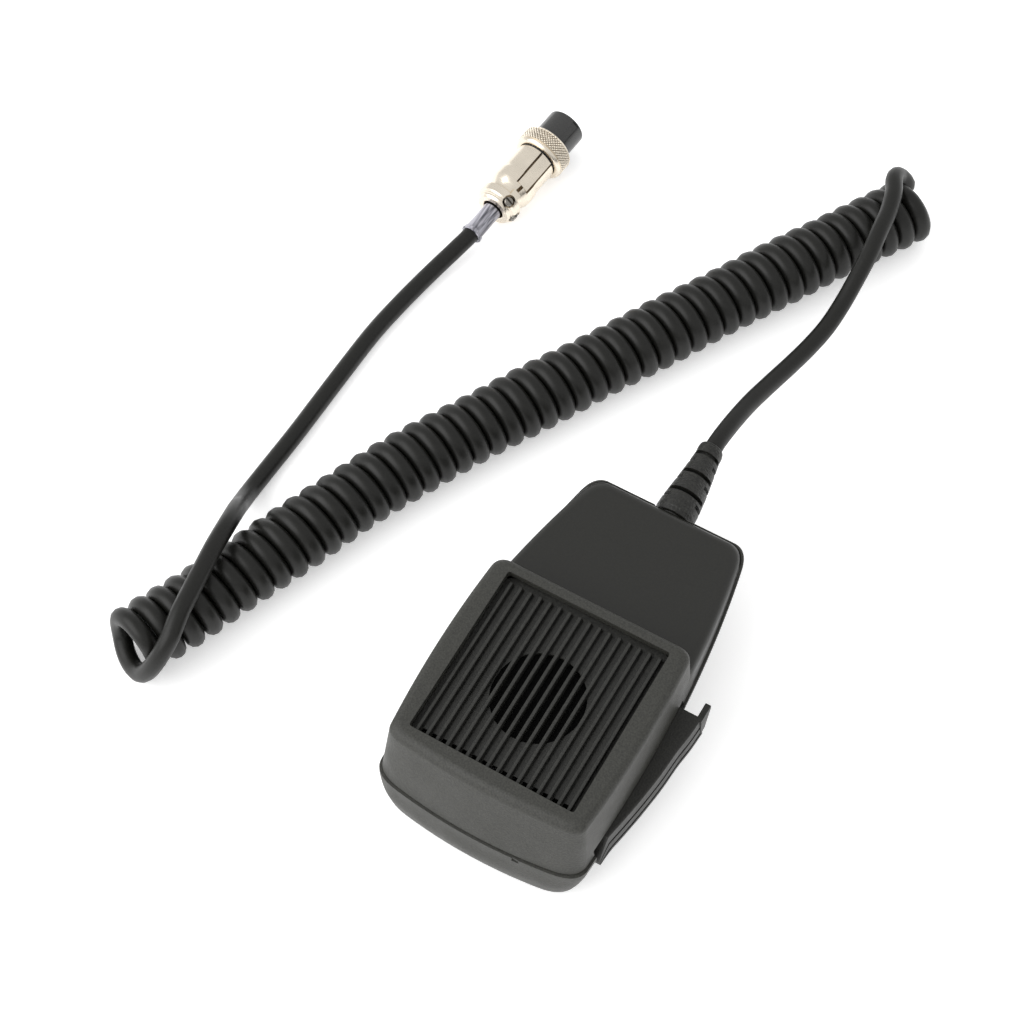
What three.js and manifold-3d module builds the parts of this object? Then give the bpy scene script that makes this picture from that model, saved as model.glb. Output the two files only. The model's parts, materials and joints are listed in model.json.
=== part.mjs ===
// Hand microphone for a mobile radio: a two-part case with a grille, a push-to-talk bar on its right
// side, a hang-up button on its back, and a curly cord that ends in a plug with a coupling ring.
// Millimetres, +Z up. The handset lies on its back, tipped up by its hang-up button.

import * as THREE from "three";
import { mergeVertices } from "three/addons/utils/BufferGeometryUtils.js";
import Module from "manifold-3d";

const wasm = await Module();
wasm.setup();

// ---------------------------------------------------------------------------------------------
// Driving dimensions. Handset frame: +X towards the push-to-talk bar, +Y towards the cord, +Z out of
// the grille, with the middle of the grille at x = y = 0 and the flat back at z = 0.

const GAP = 0.3;
const WALL = 2;
const FACE_Z = 31.5;
const PARTING_Z = 14.5;
const NECK_Z = 21.5;
const NECK_FROM_Y = 30;
const NECK_SLOPE = 0.16;
const EDGE_ROUND = 1.9;
const NECK_ROUND = 2.3;

// An outline of the case: the foot's y in the middle and its rise towards the corners, the four
// control points of the right side, the cord end's y, and how far each corner's rounding runs.
const PARTING_PLAN = {
  foot: -33.5,
  bow: 1.5,
  footCorner: 7,
  side: [[27.4, -26.7], [29.05, 0], [27.8, 29.4], [22, 57]],
  end: 62.5,
  endCorner: 5,
};
const BLOCK_PLAN = {
  foot: -33.5,
  bow: 1.5,
  footCorner: 7,
  side: [[27.4, -26.7], [28.37, -10.95], [28.33, 5.75], [26.95, 22.45]],
  end: 25.6,
  endCorner: 4,
};
const FACE_PLAN = {
  foot: -27.3,
  bow: 1,
  footCorner: 4.5,
  side: [[25.9, -23], [27.4, -7.7], [27.6, 7.4], [26.5, 22.1]],
  end: 25.6,
  endCorner: 4,
};
const NECK_PLAN = {
  foot: 16,
  bow: 0,
  footCorner: 1,
  side: [[26.95, 22.45], [25.99, 34.06], [24.38, 45.68], [22, 57]],
  end: 62.5,
  endCorner: 5,
};
const SIDE_DRAFT = 0.026;

// The rear shell's outline at each height: how far its side, foot and cord end stand out from the
// parting outline, and how much of the foot's bow is left.
const REAR_RINGS = [
  { z: 0, side: -7.5, foot: -3, end: -5, bow: 0 },
  { z: 0.45, side: -5.8, foot: -1.3, end: -3.8, bow: 0.3 },
  { z: 1.65, side: -4, foot: 0.3, end: -2.5, bow: 0.6 },
  { z: 3.7, side: -2.4, foot: 1.5, end: -1.4, bow: 0.8 },
  { z: 6.9, side: -1.2, foot: 1.9, end: -0.6, bow: 1 },
  { z: 12.5, side: 0.45, foot: 0.8, end: 0.4, bow: 1 },
  { z: PARTING_Z - GAP, side: 0.55, foot: 0.5, end: 0.5, bow: 1 },
];

// Grille: an insert with bars along Y, seen through a square opening in the face.
const OPENING_X = 21.74;
const OPENING_Y = 22.51;
const BAR_COUNT = 16;
const BAR_PITCH = 2.67;
const BAR_WIDTH = 1.05;
const BAR_TOP_Z = 30;
const GRILLE_FLOOR_Z = 29;
const INSERT_BOTTOM_Z = 27.6;
const FLANGE_TOP_Z = FACE_Z - WALL - GAP;
const FLANGE_X = 23;
const FLANGE_Y = 23.2;
const FLANGE_CORNER = 4;
const SOUND_HOLE_RADIUS = 11.38;
const SOUND_HOLE_Y = -1.19;
const DRAIN_NOTCH = 1.2;

// Microphone cartridge behind the grille, held up by a steel strap.
const CARTRIDGE_RADIUS = 14;
const CARTRIDGE_Z = [15.5, 25.8];
const GASKET_RADIUS = 16;
const STRAP_Z = [14, 15.2];
const STRAP_SCREW_Y = [-26.5, 21.5];

// Push-to-talk bar and what it works.
const WINDOW_X = [20.4, 40];
const WINDOW_Y = [-23.8, 19.3];
const WINDOW_Z = [6.9, 17.1];
const BAR_Z = [7.4, 16.5];
const BAR_PLATE = 1.6;
const BAR_SKIN = 1.9;
const BAR_INNER_X = 24;
const BAR_FOOT_X = 26.25;
const BAR_END_Y = 17.5;
// The bar's outer edge seen from the front, from its sloped foot to its horn.
const BAR_EDGE = [
  [28.35, -23],
  [28.75, -19.2],
  [29.75, -14],
  [30.85, -7.5],
  [31.85, 0.3],
  [32.4, 7.6],
  [32.95, 13],
];
const HORN_X = [31.9, 33.45];
const HORN_TIP_Y = 21.6;
const LUG_RADIUS = 2.8;
const PIVOT = [23.4, -18];
const PIN_RADIUS = 1;
const SWITCH_X = [10.5, 17.2];
const SWITCH_Y = 5;
const SWITCH_Z = 11.4;
const SWITCH_HALF_Y = 6;
const SWITCH_HALF_Z = 2.6;
const PLUNGER_X = [15.4, 20.3];
const PLUNGER_HALF = 1.1;
const SPRING_Y = 9.6;
const SPRING_Z = 12;
const SPRING_X = [20.1, 30.1];
const SPRING_RADIUS = 2.3;
const SPRING_TURNS = 5;
const SPRING_WIRE = 0.4;

// Back of the case: hang-up button, circuit board and screws.
const BUTTON_Y = 18;
const BUTTON_RADIUS = 6.5;
const BUTTON_DISC = 2.1;
const BUTTON_STANDOFF = 1.7;
const BOARD_Z = [6.9, 8.4];
const BOARD_X = 17.2;
const BOARD_Y = [-11, 46];
const BOARD_SCREWS = [[0, 41.5], [-13.5, -7]];
const CASE_SCREWS = [[-17, -26], [17, -26], [-13, 51], [13, 51]];
const SCREW_RADIUS = 1.2;
const SCREW_HOLE_RADIUS = 1.5;
const SCREW_HEAD_RADIUS = 2.6;

// Cord and its strain relief.
const CORD_RADIUS = 2.4;
const RELIEF_Z = 9.5;
const RELIEF_Y = [63.4, 86.3];
const RELIEF_RADIUS = [5.4, 3.1];
const RELIEF_NECK = 4.5;
const CLAMP_Y = 56;
const CLAMP_SCREW_X = 5.6;
const CLAMP_THICKNESS = 0.8;
const COIL_RADIUS = 9;
const COIL_Z = COIL_RADIUS + 0.05;

// Cord routes on the table, before the whole part is moved to its origin.
const LEAD_ROUTE = [
  [-0.7, 86.6, 20],
  [-0.6, 94.6, 18.7],
  [-0.2, 105, 15.9],
  [1, 115.3, 13.4],
  [2.5, 124.3, 12],
  [3.9, 132.2, 11.6],
  [5, 139.8, 12.1],
  [5.5, 146.8, 13.8],
  [5.7, 154.8, 16.8],
  [5.6, 162, 19.3],
  [4.9, 168.8, 20.7],
  [4, 176.4, 21],
  [2.2, 183.6, 21],
  [-0.4, 189.6, 20],
  [-1.9, 193.9, 16.4],
  [-0.2, 197, 12.3],
  [3.6, 195.9, 9.5],
  [5.9, 190.3, 9],
];
const COIL_ROUTE = [
  [-97.3, -27, COIL_Z],
  [-93.5, -18.6, COIL_Z],
  [-82, 12.5, COIL_Z],
  [-69.8, 44.6, COIL_Z],
  [-39.8, 104.1, COIL_Z],
  [-7.2, 166, COIL_Z],
  [4.6, 187.2, COIL_Z],
];
const TAIL_ROUTE = [
  [-101.7, -25.7, 3.4],
  [-103.1, -29, 3.1],
  [-101.9, -32, 2.6],
  [-98.2, -34.4, 2.9],
  [-94.3, -35.4, 4.6],
  [-91.2, -35.2, 9],
  [-88.5, -33, 14.2],
  [-87.6, -28.9, 18.7],
  [-88.6, -23.1, 20.8],
  [-89.7, -16.8, 21.1],
  [-90.9, -10, 21.1],
  [-92.2, -3, 20.8],
  [-93.7, 4.4, 19.2],
  [-96.2, 11, 14.6],
  [-99.2, 16.6, 8],
  [-101.2, 22.6, 3.6],
  [-101.6, 31.1, 2.5],
  [-101.4, 43.7, 2.5],
  [-101.5, 56.7, 2.5],
  [-101.6, 69.9, 2.5],
  [-101.5, 83.3, 2.5],
  [-100.5, 94.9, 2.6],
  [-98.7, 107.3, 3.1],
  [-96.4, 117.2, 4.6],
  [-95.2, 122.6, 5.45],
];

// Plug, measured along its axis from the tip of its nose.
const PLUG_TIP = [-90.8, 167.9];
const PLUG_HEADING = [-4.35, -46];
const NOSE_RADIUS = 5.65;
const NOSE_NECK_RADIUS = 4.4;
const RING_RADIUS = 7.65;
const RING_THREAD_RADIUS = 6.6;
const RING_S = [8.5, 14.4];
const RING_CHAMFER = 0.6;
const BODY_RADIUS = 5.95;
const BARREL_RADIUS = 6.35;
const WAIST_RADIUS = 5.2;
const BODY_S = [14.7, 30.2];
const SOCKET_DEPTH = 4;
const KEY_ANGLE = 47;
const KEY_HALF = 1.8;
const KEY_TOP = 6.75;
const KEY_S = [15.3, 23.5, 26.8];
const CABLE_BORE = 3.2;
const COLLAR_RADIUS = 6.3;
const COLLAR_END_RADIUS = 4.9;
const COLLAR_S = [30.5, 35.2];
const COLLAR_CONE_S = 33.2;
const TAB_HALF = 1.3;
const TAB_S = [29.3, 32];
const SLEEVE_RADIUS = 2.65;
const SLEEVE_FLANGE_RADIUS = 3.1;
const SLEEVE_S = [35.5, 45.3];
const CONTACT_CIRCLE = 3;
const CONTACT_COUNT = 4;
const CONTACT_RADIUS = 0.85;
const CONTACT_HOLE_RADIUS = 1.2;
const PLUG_SCREW_ANGLES = [47, -15];
const PLUG_SCREW_S = 32.9;
const PLUG_SCREW_HEAD = 1.4;

// ---------------------------------------------------------------------------------------------
// Materials.

function finish(color, roughness, metalness = 0) {
  return new THREE.MeshStandardMaterial({ color, roughness, metalness });
}

const CASE = finish(0x2b2a2b, 0.6);
const GRILLE = finish(0x1f1e20, 0.55);
const RUBBER = finish(0x161617, 0.75);
const CORD = finish(0x1b1b1c, 0.45);
const FELT = finish(0x0c0c0c, 0.95);
const NICKEL = finish(0xcfc6b8, 0.28, 1);
const STEEL = finish(0xa8a9ab, 0.4, 1);
const BRASS = finish(0xc9a24a, 0.35, 1);
const BOARD = finish(0x2f5b38, 0.6);
const BAKELITE = finish(0x18181a, 0.15);
const SLEEVE = finish(0x8d8a94, 0.35);
const WIRES = [0xb02020, 0x2450a0, 0xd0b030, 0xd8d8d8].map((color) => finish(color, 0.5));

// ---------------------------------------------------------------------------------------------
// Solids.

// A closed geometry as a solid that can be joined and cut.
function solid(geometry) {
  const plain = geometry.clone();
  plain.deleteAttribute("normal");
  plain.deleteAttribute("uv");
  const merged = mergeVertices(plain, 1e-4);
  const vertProperties = merged.getAttribute("position").array;
  const triVerts = new Uint32Array(merged.index.array);
  return new wasm.Manifold(new wasm.Mesh({ numProp: 3, vertProperties, triVerts }));
}

function geometryOf(made) {
  const { numProp, vertProperties, triVerts } = made.getMesh();
  const count = vertProperties.length / numProp;
  const position = new Float32Array(count * 3);
  for (let i = 0; i < count; i++) {
    const from = i * numProp;
    position.set(vertProperties.subarray(from, from + 3), i * 3);
  }
  const geometry = new THREE.BufferGeometry();
  geometry.setAttribute("position", new THREE.BufferAttribute(position, 3));
  geometry.setIndex(new THREE.BufferAttribute(triVerts, 1));
  const faceted = geometry.toNonIndexed();
  faceted.computeVertexNormals();
  return faceted;
}

function joined(solids) {
  return solids.reduce((whole, next) => whole.add(next));
}

function cut(whole, solids) {
  return solids.reduce((left, next) => left.subtract(next), whole);
}

function box([x0, x1], [y0, y1], [z0, z1]) {
  const geometry = new THREE.BoxGeometry(x1 - x0, y1 - y0, z1 - z0);
  geometry.translate((x0 + x1) / 2, (y0 + y1) / 2, (z0 + z1) / 2);
  return solid(geometry);
}

// A body turned about Z from [radius, z] points that start and end on the axis.
function turned(profile, segments = 24) {
  const points = profile.map(([radius, z]) => new THREE.Vector2(radius, z));
  return solid(new THREE.LatheGeometry(points, segments).rotateX(Math.PI / 2));
}

function rod(radius, [z0, z1], [x, y] = [0, 0], segments = 16) {
  return turned([[0, z0], [radius, z0], [radius, z1], [0, z1]], segments).translate([x, y, 0]);
}

// A rod along Y at the height of the cord.
function alongY(radius, y) {
  return rod(radius, y, [0, 0], 20).rotate([-90, 0, 0]).translate([0, 0, RELIEF_Z]);
}

function slab(points, [z0, z1]) {
  const shape = new THREE.Shape(points.map(([x, y]) => new THREE.Vector2(x, y)));
  const geometry = new THREE.ExtrudeGeometry(shape, { depth: z1 - z0, bevelEnabled: false });
  return solid(geometry.translate(0, 0, z0));
}

// A slab of [y, z] points that runs along X.
function slabAlongX(points, [x0, x1]) {
  const shape = new THREE.Shape(points.map(([y, z]) => new THREE.Vector2(y, z)));
  const geometry = new THREE.ExtrudeGeometry(shape, { depth: x1 - x0, bevelEnabled: false });
  const axes = new THREE.Matrix4().makeBasis(
    new THREE.Vector3(0, 1, 0),
    new THREE.Vector3(0, 0, 1),
    new THREE.Vector3(1, 0, 0),
  );
  return solid(geometry.applyMatrix4(axes).translate(x0, 0, 0));
}

function roundedRectangle(halfX, halfY, corner) {
  const shape = new THREE.Shape();
  shape.moveTo(halfX - corner, -halfY);
  shape.absarc(halfX - corner, -halfY + corner, corner, -Math.PI / 2, 0);
  shape.absarc(halfX - corner, halfY - corner, corner, 0, Math.PI / 2);
  shape.absarc(-halfX + corner, halfY - corner, corner, Math.PI / 2, Math.PI);
  shape.absarc(-halfX + corner, -halfY + corner, corner, Math.PI, 1.5 * Math.PI);
  return shape.getPoints(5).map((p) => [p.x, p.y]);
}

function roundTube(points, radius, sides, steps) {
  const section = new THREE.Shape(
    Array.from({ length: sides }, (_, i) => {
      const angle = (2 * Math.PI * i) / sides;
      return new THREE.Vector2(radius * Math.cos(angle), radius * Math.sin(angle));
    }),
  );
  const path = new THREE.CatmullRomCurve3(points.map((p) => new THREE.Vector3(...p)));
  return new THREE.ExtrudeGeometry(section, { steps, extrudePath: path, curveSegments: 1 });
}

// ---------------------------------------------------------------------------------------------
// Case outlines and lofts.

function grown(plan, side, foot = side, end = side) {
  const [first, second, third, last] = plan.side;
  return {
    ...plan,
    foot: plan.foot - foot,
    end: plan.end + end,
    side: [
      [first[0] + side, first[1] - foot],
      [second[0] + side, second[1]],
      [third[0] + side, third[1]],
      [last[0] + side, last[1] + end],
    ],
  };
}

function between(a, b, t) {
  const mix = (from, to) => from + (to - from) * t;
  return {
    foot: mix(a.foot, b.foot),
    bow: mix(a.bow, b.bow),
    footCorner: mix(a.footCorner, b.footCorner),
    end: mix(a.end, b.end),
    endCorner: mix(a.endCorner, b.endCorner),
    side: a.side.map(([x, y], i) => [mix(x, b.side[i][0]), mix(y, b.side[i][1])]),
  };
}

// The closed outline of a plan, anticlockwise from the middle of the foot.
function outline({ foot, bow, footCorner, side, end, endCorner }) {
  const [start, lower, upper, finish] = side;
  const cornerX = start[0] - footCorner;
  const footRise = (2 * bow * footCorner) / cornerX;
  const lean = (finish[0] - upper[0]) / (finish[1] - upper[1]);
  const half = new THREE.Path();
  half.moveTo(0, foot);
  half.quadraticCurveTo(cornerX / 2, foot, cornerX, foot + bow);
  half.quadraticCurveTo(start[0], foot + bow + footRise, start[0], start[1]);
  half.bezierCurveTo(...lower, ...upper, ...finish);
  half.quadraticCurveTo(finish[0] + lean * (end - finish[1]), end, finish[0] - endCorner, end);
  half.lineTo(0, end);
  const right = half.getPoints(6);
  const left = right.slice(1, -1).reverse().map((p) => new THREE.Vector2(-p.x, p.y));
  return [...right, ...left];
}

// A closed skin over outlines stacked upwards. height is a number or a function of y.
function loft(rings) {
  const outlines = rings.map(({ plan }) => outline(plan));
  const count = outlines[0].length;
  const position = outlines.flatMap((points, r) => {
    const { height } = rings[r];
    return points.flatMap(({ x, y }) => [x, y, typeof height === "number" ? height : height(y)]);
  });
  const index = [];
  for (let r = 0; r + 1 < rings.length; r++) {
    for (let i = 0; i < count; i++) {
      const next = (i + 1) % count;
      const [a, b] = [r * count + i, r * count + next];
      const [c, d] = [b + count, a + count];
      index.push(a, b, c, a, c, d);
    }
  }
  const top = (rings.length - 1) * count;
  for (const [a, b, c] of THREE.ShapeUtils.triangulateShape(outlines[0], [])) {
    index.push(a, c, b);
  }
  for (const [a, b, c] of THREE.ShapeUtils.triangulateShape(outlines.at(-1), [])) {
    index.push(top + a, top + b, top + c);
  }
  const geometry = new THREE.BufferGeometry();
  geometry.setAttribute("position", new THREE.Float32BufferAttribute(position, 3));
  geometry.setIndex(index);
  return solid(geometry);
}

function neckHeight(drop) {
  return (y) => NECK_Z - NECK_SLOPE * (y - NECK_FROM_Y) - drop;
}

// Steps around a quarter round: how far in and how far below the top each one lies.
function quarterRound(radius, steps = 3) {
  return Array.from({ length: steps + 1 }, (_, i) => {
    const angle = (i / steps) * (Math.PI / 2);
    return { inset: radius * (1 - Math.cos(angle)), drop: radius * (1 - Math.sin(angle)) };
  });
}

function blockLoft(offset, top, bottom, radius) {
  const plan = (z) => between(BLOCK_PLAN, FACE_PLAN, (z - PARTING_Z) / (FACE_Z - PARTING_Z));
  const rounding = quarterRound(radius).map(({ inset, drop }) => ({
    plan: grown(plan(top - drop), offset - inset),
    height: top - drop,
  }));
  return loft([{ plan: grown(plan(bottom), offset), height: bottom }, ...rounding]);
}

function neckLoft(offset, below, bottom, radius) {
  const rounding = quarterRound(radius).map(({ inset, drop }) => ({
    plan: grown(NECK_PLAN, offset - inset - SIDE_DRAFT * 5),
    height: neckHeight(below + drop),
  }));
  return loft([{ plan: grown(NECK_PLAN, offset), height: bottom }, ...rounding]);
}

function rearLoft(offset, floor) {
  const rings = REAR_RINGS.map(({ z, side, foot, end, bow }) => ({
    plan: {
      ...grown(PARTING_PLAN, side + offset, foot + offset, end + offset),
      bow: PARTING_PLAN.bow * bow,
    },
    height: z + floor * (1 - z / PARTING_Z),
  }));
  return loft(rings);
}

// ---------------------------------------------------------------------------------------------
// Case.

const bottomScrews = CASE_SCREWS.slice(0, 2);
const neckScrews = CASE_SCREWS.slice(2);
const NECK_BOSS_TOP = 17.3;
const FOOT_BOSS_TOP = 26;
const BOSS_RADIUS = 3.3;

// Room for the flange of the strain relief behind the end wall.
function reliefPocket() {
  return alongY(RELIEF_RADIUS[0] + GAP, [RELIEF_Y[0] - 5, RELIEF_Y[0] - 3]);
}

function frontShell() {
  const outer = blockLoft(0, FACE_Z, PARTING_Z, EDGE_ROUND).add(
    neckLoft(0, 0, PARTING_Z, NECK_ROUND),
  );
  const underside = PARTING_Z - 1;
  const hollow = blockLoft(-WALL, FACE_Z - WALL, underside, 0.6).add(
    neckLoft(-WALL, WALL, underside, 0.6),
  );
  const bosses = [
    ...bottomScrews.map((at) => rod(BOSS_RADIUS, [PARTING_Z + GAP, FOOT_BOSS_TOP], at)),
    ...neckScrews.map((at) => rod(BOSS_RADIUS, [PARTING_Z + GAP, FOOT_BOSS_TOP], at)),
    ...STRAP_SCREW_Y.map((y) => rod(2.6, [CARTRIDGE_Z[0], INSERT_BOTTOM_Z - GAP], [0, y])),
    rod(2.6, [WINDOW_Z[1], INSERT_BOTTOM_Z - GAP], PIVOT),
  ];
  const holes = [
    ...bottomScrews.map((at) => rod(SCREW_HOLE_RADIUS, [underside, FOOT_BOSS_TOP - 4], at, 12)),
    ...neckScrews.map((at) => rod(SCREW_HOLE_RADIUS, [underside, NECK_BOSS_TOP], at, 12)),
    ...STRAP_SCREW_Y.map((y) => rod(SCREW_HOLE_RADIUS, [underside, 24], [0, y], 12)),
    rod(PIN_RADIUS + GAP, [underside, 21], PIVOT, 12),
  ];
  const flange = roundedRectangle(FLANGE_X + GAP, FLANGE_Y + GAP, FLANGE_CORNER);
  const openings = [
    box([-OPENING_X, OPENING_X], [-OPENING_Y, OPENING_Y], [FACE_Z - WALL - 1, FACE_Z + 1]),
    box(WINDOW_X, WINDOW_Y, [underside, WINDOW_Z[1]]),
    slab(flange, [INSERT_BOTTOM_Z - GAP, FLANGE_TOP_Z + GAP]),
    reliefPocket(),
  ];
  const walls = outer.subtract(hollow);
  return cut(walls.add(joined(bosses).intersect(outer)), [...holes, ...openings]);
}

function rearShell() {
  const outer = rearLoft(0, 0);
  const hollow = rearLoft(-WALL, WALL).add(
    loft([
      { plan: grown(PARTING_PLAN, 0.5 - WALL), height: PARTING_Z - 2 * GAP },
      { plan: grown(PARTING_PLAN, 0.5 - WALL), height: PARTING_Z + 1 },
    ]),
  );
  const postTop = PARTING_Z - GAP;
  const clampPostTop = RELIEF_Z + CORD_RADIUS;
  const posts = [
    ...CASE_SCREWS.map((at) => rod(3.5, [0.5, postTop], at)),
    ...BOARD_SCREWS.map((at) => rod(2.6, [0.5, BOARD_Z[0] - GAP], at)),
    ...[-1, 1].map((side) => rod(2.2, [0.5, clampPostTop], [side * CLAMP_SCREW_X, CLAMP_Y])),
    rod(2.6, [0.5, WINDOW_Z[0] - 0.2], PIVOT),
    box([SPRING_X[0] - 2, SPRING_X[0] - GAP], [SPRING_Y - 2.8, SPRING_Y + 2.8], [0.5, 14.3]),
  ];
  const holes = [
    ...CASE_SCREWS.map((at) => rod(SCREW_HEAD_RADIUS + 0.4, [-1, 2.6], at)),
    ...CASE_SCREWS.map((at) => rod(SCREW_HOLE_RADIUS, [-1, PARTING_Z], at, 12)),
    ...BOARD_SCREWS.map((at) => rod(SCREW_HOLE_RADIUS, [2.4, 9], at, 12)),
    ...[-1, 1].map((side) => {
      return rod(SCREW_HOLE_RADIUS, [3, PARTING_Z], [side * CLAMP_SCREW_X, CLAMP_Y], 12);
    }),
    rod(PIN_RADIUS + GAP, [2.7, 9], PIVOT, 12),
    rod(SCREW_HOLE_RADIUS, [-1, WALL + 1], [0, BUTTON_Y], 12),
  ];
  const reliefSlot = [
    box([-RELIEF_NECK, RELIEF_NECK], [57, 66], [RELIEF_Z, PARTING_Z + 1]),
    alongY(RELIEF_NECK, [57, 66]),
    reliefPocket(),
  ];
  const window = box(WINDOW_X, WINDOW_Y, [WINDOW_Z[0], PARTING_Z + 1]);
  const shell = outer.subtract(hollow).add(joined(posts).intersect(outer));
  return cut(shell, [...holes, ...reliefSlot, window]);
}

// ---------------------------------------------------------------------------------------------
// Pieces in the case.

// A cheese-head screw along Z: its head's outer face, its shoulder and its tip.
function screw(headZ, shoulderZ, tipZ, [x, y], headRadius = SCREW_HEAD_RADIUS) {
  const profile = [
    [0, headZ],
    [headRadius, headZ],
    [headRadius, shoulderZ],
    [SCREW_RADIUS, shoulderZ],
    [SCREW_RADIUS, tipZ],
    [0, tipZ],
  ];
  const upwards = tipZ > headZ ? profile : profile.reverse();
  return turned(upwards, 12).translate([x, y, 0]);
}

function grilleInsert() {
  const flange = roundedRectangle(FLANGE_X, FLANGE_Y, FLANGE_CORNER);
  const floorX = OPENING_X - GAP;
  const floorY = OPENING_Y - GAP;
  const barX = (i) => (i - (BAR_COUNT - 1) / 2) * BAR_PITCH;
  const bars = Array.from({ length: BAR_COUNT }, (_, i) => {
    const x = barX(i);
    return box(
      [x - BAR_WIDTH / 2, x + BAR_WIDTH / 2],
      [-floorY, floorY - DRAIN_NOTCH],
      [INSERT_BOTTOM_Z + 0.2, BAR_TOP_Z],
    );
  });
  const notches = Array.from({ length: BAR_COUNT - 1 }, (_, i) => {
    const x = barX(i) + BAR_PITCH / 2;
    const half = DRAIN_NOTCH / 2;
    const y = [0.15 - floorY, DRAIN_NOTCH - floorY];
    return box([x - half, x + half], y, [INSERT_BOTTOM_Z - 1, FACE_Z]);
  });
  const hole = rod(SOUND_HOLE_RADIUS, [INSERT_BOTTOM_Z - 1, FACE_Z], [0, SOUND_HOLE_Y], 36);
  const plate = slab(flange, [INSERT_BOTTOM_Z, FLANGE_TOP_Z - 0.2]);
  return cut(plate.subtract(hole).add(joined(bars)), notches);
}

function cartridgeFrontPlate() {
  const plate = rod(CARTRIDGE_RADIUS - 0.5, [26.1, 26.6], [0, 0], 32);
  const holes = Array.from({ length: 6 }, (_, i) => {
    const angle = (i * Math.PI) / 3;
    return rod(1.2, [25, 28], [7 * Math.cos(angle), 7 * Math.sin(angle)], 10);
  });
  return cut(plate, [...holes, rod(1.2, [25, 28], [0, 0], 10)]);
}

function cartridgeCan() {
  const [bottom, top] = CARTRIDGE_Z;
  const r = CARTRIDGE_RADIUS;
  return turned([[0, bottom], [r - 3, bottom], [r, bottom + 3], [r, top], [0, top]], 32);
}

function cartridgeGasket() {
  const inner = CARTRIDGE_RADIUS + GAP;
  const z = [20, INSERT_BOTTOM_Z - GAP];
  const ring = rod(GASKET_RADIUS, z, [0, 0], 32);
  return ring.subtract(rod(inner, [z[0] - 1, z[1] + 1], [0, 0], 32));
}

function cartridgeStrap() {
  const [low, high] = STRAP_SCREW_Y;
  const strap = box([-4.5, 4.5], [low - 3, high + 2.4], STRAP_Z);
  return cut(strap, STRAP_SCREW_Y.map((y) => rod(SCREW_HOLE_RADIUS, [13, 16], [0, y], 12)));
}

function hangButton() {
  const disc = -BUTTON_STANDOFF - BUTTON_DISC;
  const r = BUTTON_RADIUS;
  const profile = [[0, disc], [r, disc], [r, disc + BUTTON_DISC - 0.4], [r - 0.4, disc + BUTTON_DISC]];
  profile.push([3.25, disc + BUTTON_DISC], [3.25, -GAP], [0, -GAP]);
  const bore = rod(SCREW_HOLE_RADIUS, [disc + 1, 1], [0, 0], 12);
  return turned(profile, 32).subtract(bore).translate([0, BUTTON_Y, 0]);
}

function pttBar() {
  const [low, high] = BAR_Z;
  const core = [low + BAR_PLATE, high - BAR_PLATE];
  const lugEndY = PIVOT[1] - LUG_RADIUS;
  const inside = [
    [BAR_INNER_X, BAR_END_Y],
    [BAR_INNER_X, lugEndY],
    [BAR_FOOT_X, lugEndY],
    [BAR_FOOT_X, BAR_EDGE[0][1]],
  ];
  const body = slab([...inside, ...BAR_EDGE, [HORN_X[1], BAR_END_Y]], BAR_Z);
  const horn = slabAlongX(
    [
      [12, low + 1.5],
      [HORN_TIP_Y - 3.2, low + 1.5],
      [HORN_TIP_Y - 2.4, low + 3.2],
      [HORN_TIP_Y - 0.2, high - 1.6],
      [HORN_TIP_Y, high - 0.2],
      [12, high - 0.2],
    ],
    HORN_X,
  );
  const innerEdge = BAR_EDGE.slice(2).map(([x, y]) => [x - BAR_SKIN, y]);
  const cavityEndY = BAR_END_Y - BAR_PLATE;
  const cavityEnd = [innerEdge.at(-1)[0], cavityEndY];
  const cavityFoot = [[15, cavityEndY], [15, -26], [26, -26], [26.6, -17.5]];
  const cavity = slab([...cavityFoot, ...innerEdge, cavityEnd], core);
  const lug = rod(LUG_RADIUS, BAR_Z, PIVOT, 20).subtract(box([15, 30], [-30, 0], core));
  const ribX = [PLUNGER_X[1] + GAP, 30.5];
  const rib = box(ribX, [SWITCH_Y - 1, SWITCH_Y + 1], [low + 2.8, high - 3.4]);
  const footSlope = slabAlongX(
    [[-19, high], [-23.4, low - 1], [-26, low - 1], [-26, high + 1], [-19, high + 1]],
    [BAR_FOOT_X, 40],
  );
  const bar = body.add(horn).subtract(cavity).add(lug).add(rib);
  return cut(bar, [footSlope, rod(PIN_RADIUS + GAP, [0, 20], PIVOT, 12)]);
}

function pttSpring() {
  const from = SPRING_X[0] + SPRING_WIRE;
  const to = SPRING_X[1] - SPRING_WIRE;
  const radius = SPRING_RADIUS - SPRING_WIRE;
  const count = SPRING_TURNS * 8;
  const points = Array.from({ length: count + 1 }, (_, i) => {
    const angle = (i * Math.PI) / 4;
    const x = from + ((to - from) * i) / count;
    return [x, SPRING_Y + radius * Math.cos(angle), SPRING_Z + radius * Math.sin(angle)];
  });
  return roundTube(points, SPRING_WIRE, 6, SPRING_TURNS * 10);
}

function switchBody() {
  const y = [SWITCH_Y - SWITCH_HALF_Y, SWITCH_Y + SWITCH_HALF_Y];
  const body = box(SWITCH_X, y, [SWITCH_Z - SWITCH_HALF_Z, SWITCH_Z + SWITCH_HALF_Z]);
  const half = PLUNGER_HALF + GAP;
  const way = box([13, 20], [SWITCH_Y - half, SWITCH_Y + half], [SWITCH_Z - half, SWITCH_Z + half]);
  return body.subtract(way);
}

function switchPlunger() {
  const y = [SWITCH_Y - PLUNGER_HALF, SWITCH_Y + PLUNGER_HALF];
  return box(PLUNGER_X, y, [SWITCH_Z - PLUNGER_HALF, SWITCH_Z + PLUNGER_HALF]);
}

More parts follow.
